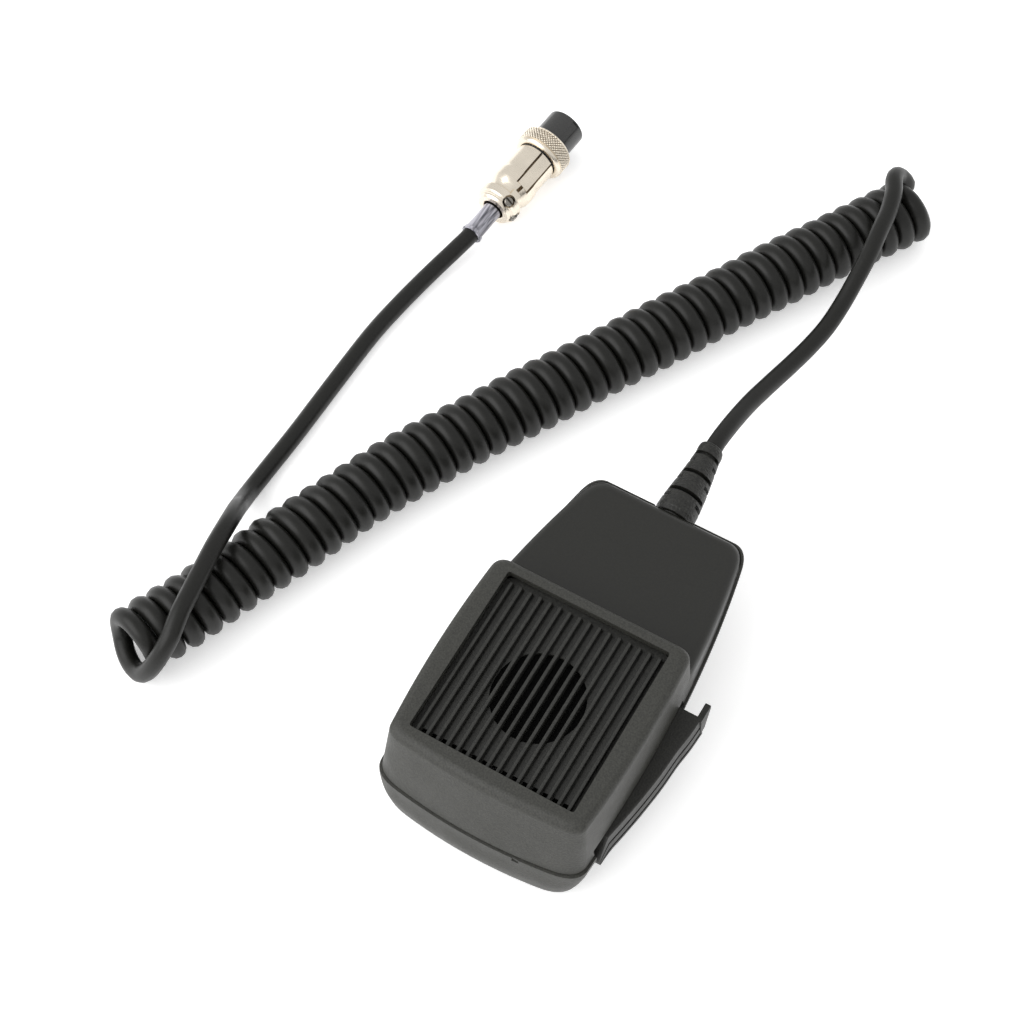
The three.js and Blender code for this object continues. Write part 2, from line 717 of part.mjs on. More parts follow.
function circuitBoard() {
  const board = box([-BOARD_X, BOARD_X], BOARD_Y, BOARD_Z);
  return cut(board, BOARD_SCREWS.map((at) => rod(SCREW_HOLE_RADIUS, [5, 10], at, 12)));
}

function capacitor() {
  const bottom = BOARD_Z[1] + GAP;
  return turned([[0, bottom], [3.1, bottom], [3.1, 14.6], [2.6, 15.1], [0, 15.1]], 20);
}

function cordClamp() {
  const bottom = RELIEF_Z + CORD_RADIUS + GAP;
  const halfX = CLAMP_SCREW_X + 2.4;
  const y = [CLAMP_Y - 2.2, CLAMP_Y + 2.2];
  const bar = box([-halfX, halfX], y, [bottom, bottom + CLAMP_THICKNESS]);
  return cut(bar, [-1, 1].map((side) => {
    return rod(SCREW_HOLE_RADIUS, [5, 15], [side * CLAMP_SCREW_X, CLAMP_Y], 12);
  }));
}

// The moulded strain relief: a flange inside the case, a neck in its wall, and a slotted taper.
function strainRelief() {
  const [base, tip] = RELIEF_Y;
  const [wide, narrow] = RELIEF_RADIUS;
  const length = tip - base;
  const neck = RELIEF_NECK - GAP;
  const flange = [[0, -4.6], [wide, -4.6], [wide, -3.3], [neck, -3.3]];
  const outside = [[neck, 0], [wide, 0], [wide, 3], [narrow, length - 2]];
  const lip = [[narrow + 0.2, length - 1.4], [narrow + 0.2, length - 0.5], [narrow - 0.3, length]];
  const body = turned([...flange, ...outside, ...lip, [0, length]], 24);
  const slotPitch = 2.9;
  const slotWidth = 1.2;
  const slots = Array.from({ length: 6 }, (_, i) => {
    const s = [4 + i * slotPitch, 4 + i * slotPitch + slotWidth];
    const core = 2.7 - 0.1 * i;
    return [-1, 1].map((side) => {
      const depth = side > 0 ? [core, 9] : [-9, -core];
      return i % 2 ? box([-9, 9], depth, s) : box(depth, [-9, 9], s);
    });
  }).flat();
  return cut(body, slots).rotate([-90, 0, 0]);
}

// ---------------------------------------------------------------------------------------------
// Pieces of the plug, along +Z from the tip of the nose to the cable.

function plugInsert() {
  const neckEnd = RING_S[1] + SOCKET_DEPTH;
  const body = turned([
    [0, 0],
    [NOSE_RADIUS - 0.3, 0],
    [NOSE_RADIUS, 0.3],
    [NOSE_RADIUS, RING_S[1]],
    [NOSE_NECK_RADIUS, RING_S[1]],
    [NOSE_NECK_RADIUS, neckEnd],
    [0, neckEnd],
  ], 32);
  const keyway = box([-KEY_HALF, KEY_HALF], [NOSE_RADIUS - 0.6, 9], [-1, RING_S[0] - 0.7]);
  const holes = contactPlaces().map((at) => rod(CONTACT_HOLE_RADIUS, [-1, 20], at, 12));
  return cut(body, [atKey(keyway), ...holes]);
}

// Turns a shape drawn on +Y round the plug's axis to the key.
function atKey(made) {
  return made.rotate([0, 0, KEY_ANGLE - 90]);
}

function contactPlaces() {
  return Array.from({ length: CONTACT_COUNT }, (_, i) => {
    const angle = ((i + 0.5) * 2 * Math.PI) / CONTACT_COUNT;
    return [CONTACT_CIRCLE * Math.cos(angle), CONTACT_CIRCLE * Math.sin(angle)];
  });
}

function plugRing() {
  const [front, back] = RING_S;
  const c = RING_CHAMFER;
  return turned([
    [NOSE_RADIUS + GAP, back],
    [NOSE_RADIUS + GAP, back - 2],
    [RING_THREAD_RADIUS, back - 2],
    [RING_THREAD_RADIUS, front],
    [RING_RADIUS - c, front],
    [RING_RADIUS, front + c],
    [RING_RADIUS, back - c],
    [RING_RADIUS - c, back],
    [NOSE_RADIUS + GAP, back],
  ], 32);
}

function plugBody() {
  const [front, back] = BODY_S;
  const socketRadius = NOSE_NECK_RADIUS + GAP;
  const barrel = turned([
    [socketRadius, front],
    [BODY_RADIUS, front],
    [BODY_RADIUS, 22.4],
    [BARREL_RADIUS, 24],
    [BARREL_RADIUS, KEY_S[2]],
    [WAIST_RADIUS, back - 0.8],
    [WAIST_RADIUS, back],
    [CABLE_BORE, back],
    [CABLE_BORE, front + SOCKET_DEPTH],
    [socketRadius, front + SOCKET_DEPTH],
    [socketRadius, front],
  ], 32);
  const key = slabAlongX(
    [[5, KEY_S[0]], [KEY_TOP, KEY_S[0]], [KEY_TOP, KEY_S[1]], [6.1, KEY_S[2]], [5, KEY_S[2]]],
    [-KEY_HALF, KEY_HALF],
  );
  return barrel.add(atKey(key));
}

function plugCollar() {
  const [front, back] = COLLAR_S;
  const collar = turned([
    [CABLE_BORE, front],
    [COLLAR_RADIUS - 0.4, front],
    [COLLAR_RADIUS, front + 0.4],
    [COLLAR_RADIUS, COLLAR_CONE_S],
    [COLLAR_END_RADIUS, back],
    [CABLE_BORE, back],
    [CABLE_BORE, front],
  ], 32);
  const tab = box([-TAB_HALF, TAB_HALF], [WAIST_RADIUS + GAP, COLLAR_RADIUS + 0.4], TAB_S);
  const holes = PLUG_SCREW_ANGLES.map((angle) => {
    const headRoom = alongRadius(PLUG_SCREW_HEAD + GAP, 4.4, 8, angle);
    return headRoom.add(alongRadius(1, 2, 8, angle));
  });
  return cut(collar.add(atKey(tab)), holes);
}

// A cylinder that stands on the plug's axis at the collar's screws and leans to an angle around it.
function alongRadius(radius, from, to, degrees) {
  const upright = rod(radius, [from, to], [0, 0], 12);
  return upright.rotate([0, 90, 0]).rotate([0, 0, degrees]).translate([0, 0, PLUG_SCREW_S]);
}

function plugScrew(degrees) {
  const head = alongRadius(PLUG_SCREW_HEAD, 4.7, COLLAR_RADIUS + 0.1, degrees);
  return head.add(alongRadius(0.7, 3.4, 5, degrees));
}

function plugSleeve() {
  const [front, back] = SLEEVE_S;
  const f = SLEEVE_FLANGE_RADIUS;
  const r = SLEEVE_RADIUS;
  return turned([[0, front], [r, front], [r, back - 1.4], [f, back - 1], [f, back], [0, back]], 24);
}

// ---------------------------------------------------------------------------------------------
// Assembly.

function add(group, name, made, material) {
  const geometry = made.isBufferGeometry ? made : geometryOf(made);
  const mesh = new THREE.Mesh(geometry, material);
  mesh.name = name;
  group.add(mesh);
  return mesh;
}

function handset() {
  const group = new THREE.Group();
  add(group, "front_shell", frontShell(), CASE);
  add(group, "rear_shell", rearShell(), CASE);
  add(group, "grille_insert", grilleInsert(), GRILLE);
  add(group, "wind_screen", rod(13.2, [26.9, 27.3], [0, 0], 32), FELT);
  add(group, "cartridge_front_plate", cartridgeFrontPlate(), STEEL);
  add(group, "cartridge_can", cartridgeCan(), STEEL);
  add(group, "cartridge_gasket", cartridgeGasket(), RUBBER);
  add(group, "cartridge_strap", cartridgeStrap(), STEEL);
  STRAP_SCREW_Y.forEach((y, i) => {
    const made = screw(STRAP_Z[0] - GAP - 1.6, STRAP_Z[0] - GAP, 22, [0, y]);
    add(group, `strap_screw_${i + 1}`, made, STEEL);
  });
  add(group, "hang_button", hangButton(), CASE);
  const buttonTip = 1.3 - BUTTON_STANDOFF - BUTTON_DISC;
  const buttonScrew = screw(WALL + GAP + 1.8, WALL + GAP, buttonTip, [0, BUTTON_Y]);
  add(group, "hang_button_screw", buttonScrew, STEEL);
  CASE_SCREWS.forEach((at, i) => {
    const tip = at[1] > 0 ? NECK_BOSS_TOP - GAP : FOOT_BOSS_TOP - 6;
    add(group, `case_screw_${i + 1}`, screw(0.4, 2.6 - GAP, tip, at), STEEL);
  });
  add(group, "ptt_bar", pttBar(), CASE);
  add(group, "ptt_pivot_pin", rod(PIN_RADIUS, [3, 20.7], PIVOT, 12), STEEL);
  add(group, "ptt_spring", pttSpring(), STEEL);
  add(group, "switch_body", switchBody(), GRILLE);
  add(group, "switch_plunger", switchPlunger(), WIRES[0]);
  add(group, "circuit_board", circuitBoard(), BOARD);
  BOARD_SCREWS.forEach((at, i) => {
    const made = screw(BOARD_Z[1] + GAP + 1.6, BOARD_Z[1] + GAP, 2.8, at);
    add(group, `board_screw_${i + 1}`, made, STEEL);
  });
  add(group, "board_capacitor", capacitor().translate([-8, 30, 0]), STEEL);
  [-1, 1].forEach((side, i) => {
    const route = [
      [side * 7.5, -5, CARTRIDGE_Z[0] - GAP],
      [side * 9, -6.5, 12],
      [side * 7.5, -8, BOARD_Z[1] + GAP],
    ];
    add(group, `cartridge_lead_${i + 1}`, roundTube(route, 0.5, 6, 8), WIRES[i]);
  });
  const relief = strainRelief().translate([0, RELIEF_Y[0], RELIEF_Z]);
  add(group, "strain_relief", relief, RUBBER);
  const jacketEnd = RELIEF_Y[0] - 4.6 - GAP;
  add(group, "cord_jacket_end", alongY(CORD_RADIUS, [51.5, jacketEnd]), CORD);
  WIRES.forEach((material, i) => {
    const side = i - 1.5;
    const route = [
      [side * 1.1, 51.5 - GAP, RELIEF_Z],
      [side * 2.6, 48, RELIEF_Z + 1.4],
      [side * 4.4, 44.5, BOARD_Z[1] + GAP + 0.2],
    ];
    add(group, `conductor_${i + 1}`, roundTube(route, 0.45, 6, 8), material);
  });
  add(group, "cord_clamp", cordClamp(), STEEL);
  [-1, 1].forEach((side, i) => {
    const shoulder = RELIEF_Z + CORD_RADIUS + 2 * GAP + CLAMP_THICKNESS;
    const made = screw(shoulder + 1.1, shoulder, 4, [side * CLAMP_SCREW_X, CLAMP_Y], 2.1);
    add(group, `clamp_screw_${i + 1}`, made, STEEL);
  });
  // The straight foot edge and the button's lower edge both lie on the table.
  const heelY = PARTING_PLAN.foot - REAR_RINGS[0].foot;
  const buttonDepth = BUTTON_STANDOFF + BUTTON_DISC;
  group.rotation.x = Math.atan2(buttonDepth, BUTTON_Y - BUTTON_RADIUS - heelY);
  group.position.z = -heelY * Math.sin(group.rotation.x);
  return group;
}

function cord() {
  const group = new THREE.Group();
  add(group, "cord_lead", roundTube(LEAD_ROUTE, CORD_RADIUS, 8, 26), CORD);
  add(group, "cord_coil", roundTube(COIL_ROUTE, COIL_RADIUS, 12, 12), CORD);
  add(group, "cord_tail", roundTube(TAIL_ROUTE, CORD_RADIUS, 8, 34), CORD);
  return group;
}

function plug() {
  const group = new THREE.Group();
  add(group, "plug_insert", plugInsert(), BAKELITE);
  contactPlaces().forEach((at, i) => {
    add(group, `plug_contact_${i + 1}`, rod(CONTACT_RADIUS, [0.8, 17], at, 10), BRASS);
  });
  add(group, "plug_ring", plugRing(), NICKEL);
  add(group, "plug_body", plugBody(), NICKEL);
  add(group, "plug_collar", plugCollar(), NICKEL);
  PLUG_SCREW_ANGLES.forEach((angle, i) => {
    add(group, `plug_screw_${i + 1}`, plugScrew(angle), STEEL);
  });
  add(group, "plug_sleeve", plugSleeve(), SLEEVE);

  // The plug lies on its ring and its collar, which is thinner, so its nose points up a little.
  const ringEdge = RING_S[1] - RING_CHAMFER;
  const tilt = Math.asin((RING_RADIUS - COLLAR_RADIUS) / (COLLAR_CONE_S - ringEdge));
  const heading = Math.atan2(PLUG_HEADING[0], -PLUG_HEADING[1]);
  const tipHeight = RING_RADIUS / Math.cos(tilt) + ringEdge * Math.sin(tilt) + 0.05;
  group.rotation.set(Math.PI / 2 + tilt, 0, heading, "ZXY");
  group.position.set(PLUG_TIP[0], PLUG_TIP[1], tipHeight);
  return group;
}

const microphone = handset();
const group = new THREE.Group();
group.add(microphone, cord(), plug());

// The origin is under the middle of the handset.
group.updateMatrixWorld(true);
const bounds = new THREE.Box3().setFromObject(microphone, true);
const middle = bounds.getCenter(new THREE.Vector3());
group.position.set(-middle.x, -middle.y, -bounds.min.z);

export default group;
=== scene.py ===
"""A hand microphone with a curly cord and a plug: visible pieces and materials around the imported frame.

Handset pieces are drawn in the handset's own frame in millimetres (+X towards the push-to-talk bar,
+Y towards the cord, +Z out of the grille, flat back at z = 0) and plug pieces along +Z from the nose's
tip. The matrices HANDSET and PLUG carry them into the row frame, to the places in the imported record.
"""

import json
import math

import bmesh
import bpy
import numpy as np
from mathutils import Matrix, Vector


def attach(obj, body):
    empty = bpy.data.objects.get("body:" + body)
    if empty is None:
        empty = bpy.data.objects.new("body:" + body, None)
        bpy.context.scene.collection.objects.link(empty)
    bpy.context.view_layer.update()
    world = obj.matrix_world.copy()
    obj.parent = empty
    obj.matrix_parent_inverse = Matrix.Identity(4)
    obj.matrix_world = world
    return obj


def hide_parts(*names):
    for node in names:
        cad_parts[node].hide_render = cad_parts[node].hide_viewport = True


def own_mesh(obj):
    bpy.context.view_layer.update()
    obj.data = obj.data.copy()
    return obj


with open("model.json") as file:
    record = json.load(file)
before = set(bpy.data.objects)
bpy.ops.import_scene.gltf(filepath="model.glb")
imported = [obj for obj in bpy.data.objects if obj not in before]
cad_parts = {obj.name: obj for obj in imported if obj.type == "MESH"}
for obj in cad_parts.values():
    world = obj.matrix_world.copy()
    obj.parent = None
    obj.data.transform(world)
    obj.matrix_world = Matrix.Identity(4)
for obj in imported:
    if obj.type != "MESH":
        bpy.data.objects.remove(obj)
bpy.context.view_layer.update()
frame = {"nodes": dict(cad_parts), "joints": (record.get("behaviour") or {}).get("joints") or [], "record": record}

MM = 0.001
RECORD = frame["record"]
MOUNTS = {mount["name"]: mount for mount in RECORD["mounts"]}
JOINTS = {joint["name"]: joint for joint in frame["joints"]}

# Sizes of the case, in millimetres, as in the CAD model.
FACE_Z = 31.5
PARTING_Z = 14.5
GAP = 0.3
WALL = 2.0
NECK_Z, NECK_FROM_Y, NECK_SLOPE = 21.5, 30.0, 0.16
BUTTON_Y, BUTTON_DEPTH, BUTTON_DISC, BUTTON_RADIUS = 18.0, 3.8, 2.1, 6.5
PIVOT = (23.4, -18.0)
CORD_RADIUS = 2.4
RELIEF_Z, RELIEF_FROM, RELIEF_TO = 9.5, 63.4, 86.3

# Where the handset and the plug stand in the row frame.
press_axis = Vector(JOINTS["ptt_press"]["axis"])
handset_tilt = math.atan2(-press_axis.y, press_axis.z)
button_face = Vector(MOUNTS["hang_button_face"]["pos_m"])
HANDSET = (
    Matrix.Translation(button_face)
    @ Matrix.Rotation(handset_tilt, 4, "X")
    @ Matrix.Translation(Vector((0, -BUTTON_Y, BUTTON_DEPTH)) * MM)
)
TABLE_SHIFT = Vector((HANDSET.translation.x, HANDSET.translation.y, 0)) / MM
plug_tip = Vector(MOUNTS["plug_face"]["pos_m"])
plug_axis = -Vector(MOUNTS["plug_face"]["axis"]).normalized()
PLUG = (
    Matrix.Translation(plug_tip)
    @ Matrix.Rotation(math.atan2(plug_axis.x, -plug_axis.y), 4, "Z")
    @ Matrix.Rotation(math.pi / 2 - math.asin(plug_axis.z), 4, "X")
)


# ---------------------------------------------------------------------------------------------
# Camera, light and floor. The camera's place is in millimetres on the table, solved from the
# photograph's perspective. It looks CAMERA_DIP degrees below level, turned CAMERA_TURN from +Y.

LENS_MM, SENSOR_MM = 83.66, 36
CAMERA_MM = Vector((126.02, -228.51, 518.01))
CAMERA_DIP, CAMERA_TURN = 57.65, 30.62
FLOOR_HALF = 3.0
SKY_STRENGTH = 0.85
KEY_AT, KEY_SIZE, KEY_WATTS = Vector((-0.75, -0.75, 0.85)), (1.6, 1.2), 14


def add_camera():
    data = bpy.data.cameras.new("camera")
    data.lens = LENS_MM
    data.sensor_width = SENSOR_MM
    data.clip_start = 0.01
    camera = bpy.data.objects.new("camera", data)
    camera.location = (CAMERA_MM + TABLE_SHIFT) * MM
    camera.rotation_euler = (math.radians(90 - CAMERA_DIP), 0, math.radians(CAMERA_TURN))
    bpy.context.scene.collection.objects.link(camera)
    bpy.context.scene.camera = camera


def add_key_light():
    """One large soft light from the front left, aimed at the origin."""
    data = bpy.data.lights.new("front_key", "AREA")
    data.shape = "RECTANGLE"
    data.size, data.size_y = KEY_SIZE
    data.energy = KEY_WATTS
    light = bpy.data.objects.new("front_key", data)
    light.location = KEY_AT
    light.rotation_euler = (-KEY_AT).to_track_quat("-Z", "Y").to_euler()
    bpy.context.scene.collection.objects.link(light)


def add_stage():
    """The paper floor, the white surroundings and the light."""
    mesh = bpy.data.meshes.new("floor")
    half = FLOOR_HALF
    corners = [(-half, -half, 0), (half, -half, 0), (half, half, 0), (-half, half, 0)]
    mesh.from_pydata(corners, [], [(0, 1, 2, 3)])
    floor = bpy.data.objects.new("floor", mesh)
    bpy.context.scene.collection.objects.link(floor)
    floor.data.materials.append(paper())
    world = bpy.data.worlds.new("studio")
    world.use_nodes = True
    background = world.node_tree.nodes["Background"]
    background.inputs["Color"].default_value = (1, 1, 1, 1)
    background.inputs["Strength"].default_value = SKY_STRENGTH
    bpy.context.scene.world = world
    bpy.context.scene.view_settings.view_transform = "Standard"
    add_key_light()


# ---------------------------------------------------------------------------------------------
# Materials. Each is a few noises at the real scale of the surface, in object coordinates.

# Most of a noise's values lie between these.
NOISE_LOW, NOISE_HIGH = 0.35, 0.65


class Recipe:
    """One procedural material: a shader, with noises that drive its colour, roughness and relief."""

    def __init__(self, name):
        self.material = bpy.data.materials.new(name)
        self.material.use_nodes = True
        self.tree = self.material.node_tree
        self.shader = self.tree.nodes["Principled BSDF"]
        self.place = self.add("ShaderNodeTexCoord").outputs["Object"]

    def add(self, kind, inputs=None):
        node = self.tree.nodes.new(kind)
        for key, value in (inputs or {}).items():
            if hasattr(value, "is_output"):
                self.tree.links.new(value, node.inputs[key])
            else:
                node.inputs[key].default_value = value
        return node

    def set(self, **values):
        for key, value in values.items():
            self.shader.inputs[key.replace("_", " ")].default_value = value

    def link(self, output, socket):
        self.tree.links.new(output, self.shader.inputs[socket])

    def noise(self, size_mm, detail, roughness=0.5, stretch=(1, 1, 1)):
        mapping = self.add("ShaderNodeMapping", {"Vector": self.place, "Scale": stretch})
        inputs = {"Vector": mapping.outputs["Vector"], "Scale": 1 / (size_mm * MM)}
        inputs |= {"Detail": detail, "Roughness": roughness}
        return self.add("ShaderNodeTexNoise", inputs).outputs["Fac"]

    def colours(self, value, first, second, start=NOISE_LOW, end=NOISE_HIGH):
        ramp = self.add("ShaderNodeValToRGB", {"Fac": value})
        ramp.color_ramp.elements[0].position = start
        ramp.color_ramp.elements[1].position = end
        ramp.color_ramp.elements[0].color = (*first, 1)
        ramp.color_ramp.elements[1].color = (*second, 1)
        self.link(ramp.outputs["Color"], "Base Color")

    def roughen(self, value, low, high):
        inputs = {"Value": value, "From Min": NOISE_LOW, "From Max": NOISE_HIGH}
        inputs |= {"To Min": low, "To Max": high}
        self.link(self.add("ShaderNodeMapRange", inputs).outputs["Result"], "Roughness")

    def relief(self, height, depth_mm):
        inputs = {"Height": height, "Distance": depth_mm * MM, "Strength": 1.0}
        self.link(self.add("ShaderNodeBump", inputs).outputs["Normal"], "Normal")


def shade(colour, factor):
    return tuple(channel * factor for channel in colour)


def moulded(name, colour, roughness, grain_mm, grain_depth, spread=0.3, ior=1.47):
    """Moulded plastic: a fine grain in its colour and relief, and broad faint changes of roughness."""
    recipe = Recipe(name)
    grain = recipe.noise(grain_mm, 2, 0.6)
    recipe.colours(grain, shade(colour, 1 - spread), shade(colour, 1 + spread))
    recipe.roughen(recipe.noise(6.0, 5), roughness - 0.04, roughness + 0.04)
    recipe.relief(grain, grain_depth)
    recipe.set(IOR=ior)
    return recipe.material


def plated(name, colour, roughness, brushed=(1, 1, 1)):
    """Plated or bare metal with faint tool marks, stretched by brushed, and a little tarnish."""
    recipe = Recipe(name)
    recipe.set(Metallic=1.0)
    broad = recipe.noise(5.0, 5)
    marks = recipe.noise(0.25, 2, 0.5, brushed)
    recipe.colours(broad, shade(colour, 0.9), colour)
    recipe.roughen(marks, roughness - 0.04, roughness + 0.05)
    recipe.relief(marks, 0.003)
    return recipe.material


def paper():
    """White floor paper that glows a little, as a lit background does."""
    recipe = Recipe("floor_paper")
    recipe.colours(recipe.noise(120, 2), (0.95, 0.95, 0.95), (0.97, 0.97, 0.97))
    recipe.roughen(recipe.noise(60, 2), 0.85, 0.95)
    recipe.set(Emission_Color=(1, 1, 1, 1), Emission_Strength=0.4)
    return recipe.material


def felt_cloth():
    """Black felt, seen through the sound hole."""
    recipe = Recipe("felt_cloth")
    recipe.colours(recipe.noise(0.6, 4), (0.001, 0.001, 0.001), (0.004, 0.004, 0.004))
    recipe.roughen(recipe.noise(0.4, 2), 0.9, 1.0)
    recipe.relief(recipe.noise(0.25, 5, 0.7), 0.15)
    recipe.set(IOR=1.25)
    return recipe.material


def clear_sleeve():
    """Clear heat-shrink tube, with light and dark streaks along its length painted in its colour as reflections.
    """
    recipe = Recipe("clear_sleeve")
    reflection_streaks = recipe.noise(0.8, 2, 0.5, (1, 0.02, 1))
    # The light and dark streaks are painted reflections.
    recipe.colours(reflection_streaks, (0.10, 0.10, 0.12), (0.66, 0.65, 0.72), 0.4, 0.6)
    recipe.roughen(recipe.noise(1.0, 3), 0.14, 0.24)
    recipe.relief(reflection_streaks, 0.06)
    recipe.set(Transmission_Weight=0.35, IOR=1.46)
    return recipe.material


def solder_board():
    """Green lacquered circuit board."""
    recipe = Recipe("solder_board")
    recipe.colours(recipe.noise(3.0, 2), (0.01, 0.07, 0.025), (0.02, 0.12, 0.045))
    recipe.roughen(recipe.noise(1.5, 3), 0.3, 0.45)
    recipe.relief(recipe.noise(0.6, 2), 0.03)
    return recipe.material


# After its colour a moulding has its roughness, the size and depth of its grain in millimetres, how
# far its colour spreads and its index of refraction.
CASE_COLOUR = (0.028, 0.028, 0.0235)
SATIN = moulded("case_satin", (0.012, 0.012, 0.0098), 0.36, 0.5, 0.004, 0.12, 1.43)
# The talk bar's plastic is the case's, made darker as painted shade, for the bar sits low and shadowed.
SHADED_BAR_PLASTIC = moulded("bar_plastic_painted_shade", (0.0155, 0.0155, 0.013), 0.45, 0.4, 0.08, 0.35, 1.43)
# Dark steel for the clamp bolts, made darker still as painted shade of the holes round their heads.
DARK_STEEL_AND_SHADE = plated("dark_steel_and_painted_shade", (0.26, 0.245, 0.22), 0.25)
# Darker, browner metal painted into the knurl's hollows and the barrel's seams and slot as their shade.
HOLLOW_SHADE = plated("painted_hollow_shade", (0.20, 0.155, 0.105), 0.45)
MATERIALS = {
    "case": moulded("case_plastic", CASE_COLOUR, 0.48, 0.42, 0.1, 0.32),
    "grille": moulded("grille_plastic", (0.018, 0.018, 0.0155), 0.5, 0.4, 0.12, 0.45, 1.44),
    "felt": felt_cloth(),
    "rubber": moulded("relief_rubber", (0.0125, 0.0125, 0.0105), 0.4, 0.6, 0.25, 0.6, 1.43),
    "cord": moulded("cord_jacket", (0.0062, 0.0062, 0.005), 0.42, 0.6, 0.01, 0.2, 1.38),
    "nickel": plated("warm_nickel", (0.82, 0.745, 0.63), 0.28, (0.2, 3, 0.2)),
    "steel": plated("zinc_steel", (0.55, 0.56, 0.58), 0.35),
    "brass": plated("contact_brass", (0.78, 0.58, 0.26), 0.3),
    "board": solder_board(),
    "bakelite": moulded("nose_moulding", (0.022, 0.022, 0.021), 0.2, 0.6, 0.004, 0.15, 1.6),
    "sleeve": clear_sleeve(),
    "wire_red": moulded("wire_red", (0.42, 0.015, 0.012), 0.35, 0.3, 0.01),
    "wire_blue": moulded("wire_blue", (0.015, 0.05, 0.28), 0.35, 0.3, 0.01),
    "wire_yellow": moulded("wire_yellow", (0.55, 0.38, 0.02), 0.35, 0.3, 0.01),
    "wire_white": moulded("wire_white", (0.62, 0.62, 0.60), 0.35, 0.3, 0.01),
}


def dress_frame():
    """Every CAD node gets the finish of its slot in the record."""
    for subpart in RECORD["subparts"]:
        node = frame["nodes"][subpart["node"]]
        node.data.materials.clear()
        node.data.materials.append(MATERIALS[subpart["material_slot"]])


# ---------------------------------------------------------------------------------------------
# Mesh building.

def new_object(name, mesh, matrix=None):
    """An object in the scene. With a matrix its mesh goes from millimetres to its place in metres."""
    thing = bpy.data.objects.new(name, mesh)
    bpy.context.scene.collection.objects.link(thing)
    if matrix is not None:
        mesh.transform(matrix @ Matrix.Scale(MM, 4))
    return thing


def mesh_of(points, faces):
    """A mesh with all its faces turned outwards."""
    mesh = bpy.data.meshes.new("work")
    mesh.from_pydata([tuple(p) for p in points], [], faces)
    work = bmesh.new()
    work.from_mesh(mesh)
    bmesh.ops.recalc_face_normals(work, faces=work.faces)
    work.to_mesh(mesh)
    work.free()
    return mesh


def stacked(rings, close=True):
    """A closed skin over rings of equally many points, each ring an (n, 3) array."""
    count = len(rings[0])
    faces = []
    for r in range(len(rings) - 1):
        for i in range(count):
            j = (i + 1) % count
            low, high = r * count, (r + 1) * count
            faces.append((low + i, low + j, high + j, high + i))
    if close:
        top = (len(rings) - 1) * count
        faces.append(tuple(reversed(range(count))))
        faces.append(tuple(range(top, top + count)))
    return mesh_of(np.concatenate(rings), faces)


def turned(profile, segments):
    """A body turned about Z from [radius, z] points. A profile that starts off the axis is a ring."""
    angles = np.arange(segments) * 2 * np.pi / segments
    points, rows = [], []
    for radius, z in profile:
        start = len(points)
        if radius < 1e-6:
            points.append((0, 0, z))
            rows.append([start] * segments)
        else:
            points += [(radius * math.cos(a), radius * math.sin(a), z) for a in angles]
            rows.append(list(range(start, start + segments)))
    pairs = list(zip(rows, rows[1:]))
    if profile[0][0] > 1e-6:
        pairs.append((rows[-1], rows[0]))
    faces = []
    for low, high in pairs:
        for i in range(segments):
            j = (i + 1) % segments
            loop = [low[i], low[j], high[j], high[i]]
            loop = [v for k, v in enumerate(loop) if v != loop[k - 1]]
            faces.append(tuple(loop))
    return mesh_of(points, faces)


def cylinder(radius, low, high, segments, bore=0):
    """A rod along Z, or a tube where it has a bore."""
    return turned([(bore, low), (radius, low), (radius, high), (bore, high)], segments)


def rounded(profile, radius=0.3, steps=4):
    """The profile with each inner corner rounded off."""
    points = [np.array(p, float) for p in profile]
    made = [points[0]]
    for before, corner, after in zip(points, points[1:], points[2:]):
        to_before, to_after = before - corner, after - corner
        reach = min(radius, 0.45 * np.linalg.norm(to_before), 0.45 * np.linalg.norm(to_after))
        start = corner + to_before / np.linalg.norm(to_before) * reach
        end = corner + to_after / np.linalg.norm(to_after) * reach
        for t in np.linspace(0, 1, steps + 1):
            made.append((1 - t) ** 2 * start + 2 * t * (1 - t) * corner + t**2 * end)
    return [tuple(p) for p in made + [points[-1]]]


def block(x, y, z):
    """A box between two values of x, of y and of z, for joining or cutting."""
    corners = [(x[i], y[j], z[k]) for k in (0, 1) for j in (0, 1) for i in (0, 1)]
    faces = [(0, 2, 3, 1), (4, 5, 7, 6), (0, 1, 5, 4), (2, 6, 7, 3), (0, 4, 6, 2), (1, 3, 7, 5)]
    return mesh_of(corners, faces)


def carved(mesh, tools, operation="DIFFERENCE"):
    """The mesh joined with, or cut by, the tool meshes, all in the same millimetres."""
    holder = new_object("carving", mesh)
    holders = []
    for tool in tools:
        other = new_object("tool", tool)
        holders.append(other)
        step = holder.modifiers.new("boolean", "BOOLEAN")
        step.object = other
        step.operation = operation
        step.solver = "EXACT"
    bpy.context.view_layer.update()
    graph = bpy.context.evaluated_depsgraph_get()
    made = bpy.data.meshes.new_from_object(holder.evaluated_get(graph))
    for thing in [holder, *holders]:
        bpy.data.objects.remove(thing)
    return made


def merged(meshes):
    """Several closed meshes as one mesh."""
    work = bmesh.new()
    for mesh in meshes:
        work.from_mesh(mesh)
    made = bpy.data.meshes.new("work")
    work.to_mesh(made)
    work.free()
    return made


